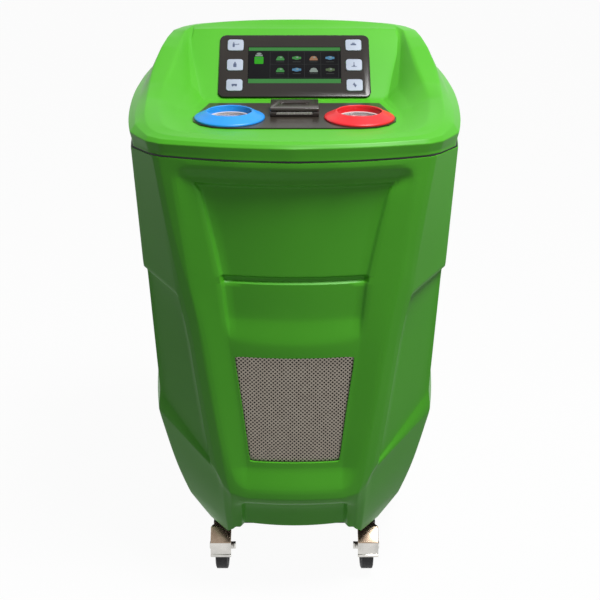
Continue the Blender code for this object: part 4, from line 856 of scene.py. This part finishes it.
def makePrinter():
    body = flatCopy("printer_body", "printerCase")
    bevelSharp(body, 0.0006, 2, 40.0, lambda point: point.z > 0.9045)
    finishPiece(body, 30.0, "printerBlack", "cabinet", "printer_body", "printer")
    lid = flatCopy("printer_lid", "printerLid")
    bevelSharp(lid, printerSet["lidEdge"], 4, 40.0, lambda point: point.z > 0.9190 or point.y < -0.1160)
    ribHalf = printerSet["ribHalfX"]
    for step in range(printerSet["ribs"]):
        ribY = printerSet["front"] + printerSet["ribFirst"] + printerSet["ribPitch"] * step
        rib = boxBetween((-ribHalf, ribY, printerSet["top"] - 0.0030),
                         (ribHalf, ribY + printerSet["ribWide"], printerSet["top"] - 0.0016))
        joinInto(lid, [rib])
    finishPiece(lid, 30.0, "printerBlack", "printer_lid", "printer_lid", "printer")
    wide = printerSet["barHalfX"]
    low = printerSet["lidLow"] - 0.0016
    bar = boxBetween((-wide, printerSet["front"] - 0.0006, low - 0.0030),
                     (wide, printerSet["front"] + 0.0004, low))
    teeth = []
    for step in range(printerSet["teeth"]):
        x = -wide + (step + 0.5) * 2.0 * wide / printerSet["teeth"]
        tooth = fromPrimitive("cone", "tooth", vertices=3, radius1=0.0009, radius2=0.0, depth=0.0012)
        stretchBy(tooth, 1.0, 0.4)
        moveBy(tooth, (x, printerSet["front"] - 0.0002, low + 0.0004))
        teeth.append(tooth)
    joinInto(bar, teeth)
    bar.name = "tearBar"
    paintWith(bar, materials["zinc"])
    standFor(bar, "cabinet", slot="printer")
    roll = turned("paperRoll", ((0.006, -0.028), (0.0188, -0.028), (0.0190, -0.0278), (0.0190, 0.0278),
                                (0.0188, 0.028), (0.006, 0.028), (0.006, -0.028)), 64,
                  (0.0, (printerSet["front"] + printerSet["back"]) / 2.0, printerSet["rollZ"]),
                  turnX)
    paintWith(roll, materials["paperWhite"])
    standFor(roll, "paper_roll", "paper_roll", slot="paper")


# perforated sheet behind the front opening
grilleSet = {"pitch": 0.0052, "web": 0.00105, "thick": 0.0006, "bow": 0.62, "frontY": -0.270,
             "back": 0.0172, "span": 0.40, "taper": 0.0115}


def makeGrille():
    low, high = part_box("front_grille")
    pitch = grilleSet["pitch"]
    count = int(grilleSet["span"] / pitch)
    sheet = fromPrimitive("grid", "grilleSheet", x_subdivisions=count, y_subdivisions=count,
                          size=count * pitch)
    turnBy(sheet, 45.0, "Z")
    moveBy(sheet, (0.0, (low.z + high.z) / 2.0, 0.0))
    height = high.z - low.z
    lowHalf = high.x - grilleSet["taper"]
    slope = (high.x - lowHalf) / height
    editMode(sheet, whole=True)
    for x, z, outX, outZ in ((0.0, low.z, 0.0, -1.0), (0.0, high.z, 0.0, 1.0),
                             (lowHalf, low.z, 1.0, -slope), (-lowHalf, low.z, -1.0, -slope)):
        selectAll()
        bpy.ops.mesh.bisect(plane_co=(x, z, 0.0), plane_no=(outX, outZ, 0.0), clear_outer=True,
                            use_fill=False)
    selectAll()
    bpy.ops.mesh.inset(thickness=grilleSet["web"], use_individual=True, use_boundary=True)
    bpy.ops.mesh.delete(type="FACE")
    selectAll()
    extrudeBy(0.0, 0.0, grilleSet["thick"])
    faceOutward()
    objectMode()
    for vertex in sheet.data.vertices:
        x, z, out = vertex.co
        depth = grilleSet["frontY"] + x * x / (2.0 * grilleSet["bow"]) + grilleSet["back"]
        vertex.co = (x, depth + out, z)
    editMode(sheet)
    faceOutward()
    objectMode()
    finishPiece(sheet, 30.0, "grilleSteel", "cabinet", "front_grille", "grille")
    print("grille holes punched", len(sheet.data.polygons))


# casters: fork, ball race, wheel with a ribbed tread, axle with nuts, brake pedal
casterSet = {"x": 0.1425, "y": -0.115, "trail": 0.030, "radius": 0.045, "half": 0.012, "pedalWide": 1.50,
             "nutRadius": 0.0075, "nutThick": 0.0060, "nutPast": 0.0020, "ribDeep": 0.0006,
             "ribPitch": 0.0030,
             "pedalFrom": -0.162, "padFront": -0.190, "padLow": 0.084, "padHigh": 0.092, "zincUnder": 0.0880,
             "rollPlace": (-0.2000, 0.0622), "rollRadius": 0.0032, "rollWide": 0.0264,
             "race": ((0.0, 0.1089), (0.0180, 0.1089), (0.0192, 0.1096), (0.0196, 0.1108), (0.0190, 0.1118),
                      (0.0176, 0.1124), (0.0176, 0.1134), (0.0190, 0.1142), (0.0194, 0.1156),
                      (0.0188, 0.1172), (0.0174, 0.1180), (0.0, 0.1180))}


def hexNut(place, radius, thick):
    nut = fromPrimitive("cylinder", "nut", vertices=6, radius=radius, depth=thick)
    bevelSharp(nut, radius * 0.10, 2, 40.0)
    turnBy(nut, 90.0, "Y")
    moveBy(nut, place)
    smoothBy(nut, 30.0)
    return nut


def makeCaster(side, tag):
    x = side * casterSet["x"]
    y = casterSet["y"]
    axleY = y - casterSet["trail"]
    radius = casterSet["radius"]
    half = casterSet["half"]
    fork = flatCopy("caster_fork_" + tag, "casterFork" + tag.capitalize())
    bevelSharp(fork, 0.0004, 2, 40.0)
    smoothBy(fork, 32.0)
    race = turned("race", casterSet["race"], 48, (x, y, 0.0))
    paintWith(fork, materials["darkZinc"])
    paintWith(race, materials["blackSteel"])
    joinInto(fork, [race])
    standFor(fork, "caster_fork_" + tag, "caster_fork_" + tag, slot="dark_steel")
    rib = casterSet["ribDeep"]
    profile = [(0.0045, -half - 0.0008), (0.0115, -half - 0.0008), (0.0118, -half + 0.0040),
               (radius - 0.0160, -half + 0.0052), (radius - 0.0110, -half + 0.0010),
               (radius - 0.0085, -half),
               (radius - 0.0040, -half), (radius - 0.0012, -half + 0.0012)]
    for step in range(-3, 4):
        middle = step * casterSet["ribPitch"]
        profile += [(radius, middle - 0.0010), (radius, middle + 0.0008), (radius - rib, middle + 0.0011),
                    (radius - rib, middle + 0.0018)]
    profile += [(radius - 0.0012, half - 0.0009)] + [(r, -h) for r, h in reversed(profile[:7])] + profile[:1]
    wheel = turned("casterWheel" + tag.capitalize(), profile, 72, (x, axleY, radius), turnX, 35.0)
    paintWith(wheel, materials["wheelGrey"])
    standFor(wheel, "caster_wheel_" + tag, "caster_wheel_" + tag, slot="wheel_grey")
    axle = copyOfNode("caster_axle_" + tag, "casterAxle" + tag.capitalize())
    low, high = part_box("caster_axle_" + tag)
    smoothBy(axle, 30.0)
    past = casterSet["nutPast"]
    nuts = [hexNut((end, axleY, radius), casterSet["nutRadius"], casterSet["nutThick"])
            for end in (low.x - past, high.x + past)]
    joinInto(axle, nuts)
    paintWith(axle, materials["zinc"])
    standFor(axle, "caster_fork_" + tag, "caster_axle_" + tag, slot="zinc")
    pedal = flatCopy("caster_pedal_" + tag, "casterPedal" + tag.capitalize())
    for vertex in pedal.data.vertices:
        if vertex.co.y < casterSet["pedalFrom"]:
            vertex.co.x = x + (vertex.co.x - x) * casterSet["pedalWide"]
    bevelSharp(pedal, 0.0030, 4, 20.0, lambda point: point.y < casterSet["padFront"]
               and casterSet["padLow"] < point.z < casterSet["padHigh"])
    roll = fromPrimitive("cylinder", "roll", vertices=32, radius=casterSet["rollRadius"],
                         depth=casterSet["rollWide"] * casterSet["pedalWide"])
    turnBy(roll, 90.0, "Y")
    moveBy(roll, (x, *casterSet["rollPlace"]))
    bevelSharp(roll, 0.0008, 2, 40.0)
    joinInto(pedal, [roll])
    smoothBy(pedal, 35.0)
    paintWith(pedal, materials["pedalBronze"])
    pedal.data.materials.append(materials["zinc"])
    for face in pedal.data.polygons:
        if face.center.z < casterSet["zincUnder"]:
            face.material_index = 1
    standFor(pedal, "caster_pedal_" + tag, "caster_pedal_" + tag, slot="zinc")


# back and sides: wheels, ports, inlet, switch, panel with screws, side cap
rearSet = {"x": 0.210, "y": 0.150, "radius": 0.090, "half": 0.019, "bore": 0.0084, "spokes": 6,
           "spokeFrom": 0.0270, "spokeTo": 0.0240, "spokeThick": 0.0016, "spokeHalf": 0.0022,
           "spokeIn": 0.0090, "ribPitch": 0.0055}


def makeRearWheel(side, tag):
    radius = rearSet["radius"]
    half = rearSet["half"]
    bore = rearSet["bore"]
    profile = [(bore, -half), (0.0215, -half), (0.0225, -half + 0.0008), (0.0285, -half + 0.0078),
               (radius - 0.0250, -half + 0.0082), (radius - 0.0215, -half + 0.0040),
               (radius - 0.0200, -half + 0.0006), (radius - 0.0185, -half), (radius - 0.0070, -half),
               (radius - 0.0030, -half + 0.0016), (radius - 0.0006, -half + 0.0052)]
    for step in range(-2, 3):
        middle = step * rearSet["ribPitch"]
        profile += [(radius, middle - 0.0018), (radius, middle + 0.0018), (radius - 0.0012, middle + 0.0022),
                    (radius - 0.0012, middle + 0.0033)]
    profile = profile[:-2] + [(r, -h) for r, h in reversed(profile[:11])] + [(bore, -half)]
    place = (side * rearSet["x"], rearSet["y"], radius)
    wheel = turned("rearWheel" + tag.capitalize(), profile, 96, place, turnX, 35.0)
    paintWith(wheel, materials["tyreBlack"])
    hub = []
    for face in (-1.0, 1.0):
        for step in range(rearSet["spokes"]):
            thick, wide = rearSet["spokeThick"], rearSet["spokeHalf"]
            spoke = boxBetween((-thick, rearSet["spokeFrom"], -wide),
                               (thick, radius - rearSet["spokeTo"], wide))
            turnBy(spoke, 360.0 / rearSet["spokes"] * step, "Z")
            moveBy(spoke, (0.0, 0.0, face * (half - rearSet["spokeIn"])))
            turnBy(spoke, 90.0, "Y")
            moveBy(spoke, place)
            paintWith(spoke, materials["tyreBlack"])
            hub.append(spoke)
    joinInto(wheel, hub)
    smoothBy(wheel, 35.0)
    standFor(wheel, "rear_wheel_" + tag, "rear_wheel_" + tag, slot="wheel_black")


def screwHead(place, radius=0.0042):
    # a domed screw with a cross recess, its axis along Y
    head = turned("screwHead", ((0.0, 0.0), (radius, 0.0), (radius, 0.0006), (radius * 0.85, 0.0014),
                                (radius * 0.5, 0.0020), (0.0, 0.0022)), 32)
    for turn in (45.0, 135.0):
        slot = boxBetween((-0.0004, -radius * 0.55, 0.0012), (0.0004, radius * 0.55, 0.0040))
        turnBy(slot, turn, "Z")
        cutWith(head, slot)
    turnBy(head, -90.0, "X")
    moveBy(head, place)
    smoothBy(head, 30.0)
    paintWith(head, materials["zinc"])
    return head


backSet = {"bankX": 0.075, "hoods": 7, "hoodHalfX": 0.056, "hoodFirst": 0.5702, "hoodPitch": 0.030,
           "hoodIn": 0.0004, "hoodOut": 0.0034, "hoodThick": 0.0016, "screwX": 0.022, "screwZ": 0.040,
           "inletX": 0.105, "inletZ": 0.240, "pins": ((-0.0070, -0.0020), (0.0070, -0.0020), (0.0, 0.0035)),
           "pinHalfX": 0.0010, "pinHalfZ": 0.0020, "pinFrom": 0.2515, "pinTo": 0.2605, "portZ": 0.250,
           "ports": ((-0.133, "low", "portBlue", "port_blue"), (-0.077, "high", "portRed", "port_red"))}


def makeBack():
    panel = flatCopy("back_panel", "backPanel")
    low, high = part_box("back_panel")
    extras = []
    halfX = backSet["hoodHalfX"]
    for bank in (-backSet["bankX"], backSet["bankX"]):
        for step in range(backSet["hoods"]):
            z = backSet["hoodFirst"] + backSet["hoodPitch"] * step
            hood = boxBetween((bank - halfX, high.y - backSet["hoodIn"], z),
                              (bank + halfX, high.y + backSet["hoodOut"], z + backSet["hoodThick"]))
            bevelSharp(hood, 0.0006, 2, 40.0)
            extras.append(hood)
    joinInto(panel, extras)
    smoothBy(panel, 30.0)
    paintWith(panel, materials["blackSteel"])
    heads = []
    inX, inZ = backSet["screwX"], backSet["screwZ"]
    for x in (low.x + inX, high.x - inX):
        for z in (low.z + inZ, (low.z + high.z) / 2.0, high.z - inZ):
            heads.append(screwHead((x, high.y, z)))
    joinInto(panel, heads)
    standFor(panel, "cabinet", "back_panel", slot="panel_steel")
    inlet = flatCopy("power_inlet", "powerInlet")
    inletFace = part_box("power_inlet")[1].y
    bevelSharp(inlet, 0.0006, 2, 40.0, lambda point: point.y > inletFace - 0.0001)
    pins = []
    wide, tall = backSet["pinHalfX"], backSet["pinHalfZ"]
    for across, up in backSet["pins"]:
        x, z = backSet["inletX"] + across, backSet["inletZ"] + up
        pin = boxBetween((x - wide, backSet["pinFrom"], z - tall), (x + wide, backSet["pinTo"], z + tall))
        bevelSharp(pin, 0.0003, 2, 40.0)
        paintWith(pin, materials["zinc"])
        pins.append(pin)
    smoothBy(inlet, 30.0)
    paintWith(inlet, materials["blackPlastic"])
    joinInto(inlet, pins)
    standFor(inlet, "cabinet", "power_inlet", slot="inlet")
    rocker = flatCopy("power_switch", "powerRocker")
    bevelSharp(rocker, 0.0005, 2, 30.0)
    finishPiece(rocker, 35.0, "rockerRed", "power_switch", "power_switch", "switch")
    for x, tag, paint, slot in backSet["ports"]:
        port = turned("servicePort" + tag.capitalize(), (
            (0.0, -0.0275), (0.0078, -0.0275), (0.0080, -0.0270), (0.0080, 0.0004), (0.0146, 0.0004),
            (0.0150, 0.0008), (0.0150, 0.0024), (0.0140, 0.0034), (0.0062, 0.0036), (0.0052, 0.0034),
            (0.0046, 0.0028), (0.0045, -0.0240), (0.0, -0.0240),
        ), 56, (x, high.y, backSet["portZ"]), turnY)
        paintWith(port, materials[paint])
        standFor(port, "cabinet", "service_port_" + tag, slot=slot)


def makeSideCap():
    cap = copyOfNode("side_cap", "sideCap")
    subdivideBy(cap, 1)
    finishPiece(cap, 40.0, "blackPlastic", "cabinet", "side_cap", "inlet")


makePrinter()
print("printer made")
makeGrille()
for side, tag in ((-1.0, "left"), (1.0, "right")):
    makeCaster(side, tag)
    makeRearWheel(side, tag)
print("wheels made")
makeBack()
makeSideCap()
print("back and side made")


# floor, world and lamps
studio = {"floorHalf": 9.0, "floorColour": (0.82, 0.82, 0.82), "floorBounce": (0.15, 0.15, 0.15),
          "floorGlow": 0.96, "worldStrength": 0.055,
          "aim": (0.0, 0.0, 0.55), "key": {"place": (0.85, -0.80, 3.35), "size": 0.9, "power": 102.0},
          "side": {"place": (1.6, -2.6, 1.2), "size": 1.2, "power": 3.5}}


def mathNode(tree, operation, first, second):
    node = tree.nodes.new("ShaderNodeMath")
    node.operation = operation
    tree.links.new(first, node.inputs[0])
    if isinstance(second, float):
        node.inputs[1].default_value = second
    else:
        tree.links.new(second, node.inputs[1])
    return node.outputs["Value"]


def makeFloor():
    floor = fromPrimitive("plane", "studioFloor", size=2.0 * studio["floorHalf"])
    material, tree, shader = newMaterial("studioFloorPaint")
    shader.inputs["Roughness"].default_value = 0.7
    glow = tree.nodes.new("ShaderNodeEmission")
    glow.inputs["Strength"].default_value = 1.0
    rays = tree.nodes.new("ShaderNodeLightPath")
    seen = mathNode(tree, "MAXIMUM", rays.outputs["Is Camera Ray"], rays.outputs["Is Glossy Ray"])
    tone = tree.nodes.new("ShaderNodeMix")
    tone.data_type = "RGBA"
    tone.inputs["A"].default_value = (*studio["floorBounce"], 1.0)
    tone.inputs["B"].default_value = (*studio["floorColour"], 1.0)
    tree.links.new(seen, tone.inputs["Factor"])
    tree.links.new(tone.outputs["Result"], shader.inputs["Base Color"])
    blend = tree.nodes.new("ShaderNodeMixShader")
    tree.links.new(mathNode(tree, "MULTIPLY", seen, studio["floorGlow"]), blend.inputs["Fac"])
    tree.links.new(shader.outputs["BSDF"], blend.inputs[1])
    tree.links.new(glow.outputs["Emission"], blend.inputs[2])
    tree.links.new(blend.outputs["Shader"], tree.nodes["Material Output"].inputs["Surface"])
    paintWith(floor, material)


def makeWorld():
    world = bpy.data.worlds.new("studioWorld")
    bpy.context.scene.world = world
    world.use_nodes = True
    tree = world.node_tree
    back = tree.nodes["Background"]
    back.inputs["Color"].default_value = (1.0, 1.0, 1.0, 1.0)
    rays = tree.nodes.new("ShaderNodeLightPath")
    seen = mathNode(tree, "MAXIMUM", rays.outputs["Is Camera Ray"], rays.outputs["Is Transmission Ray"])
    either = mathNode(tree, "MAXIMUM", seen, rays.outputs["Is Glossy Ray"])
    tree.links.new(spreadValue(tree, either, studio["worldStrength"], 1.0), back.inputs["Strength"])


def makeLamp(name):
    facts = studio[name]
    data = bpy.data.lights.new(name + "Lamp", "AREA")
    data.energy = facts["power"]
    data.size = facts["size"]
    lamp = bpy.data.objects.new(name + "Lamp", data)
    bpy.context.scene.collection.objects.link(lamp)
    lamp.location = facts["place"]
    aim = Vector(studio["aim"]) - Vector(facts["place"])
    lamp.rotation_euler = aim.to_track_quat("-Z", "Y").to_euler()


makeFloor()
makeWorld()
for lampName in ("key", "side"):
    makeLamp(lampName)
bpy.context.scene.view_settings.view_transform = "Standard"
print("studio lit")
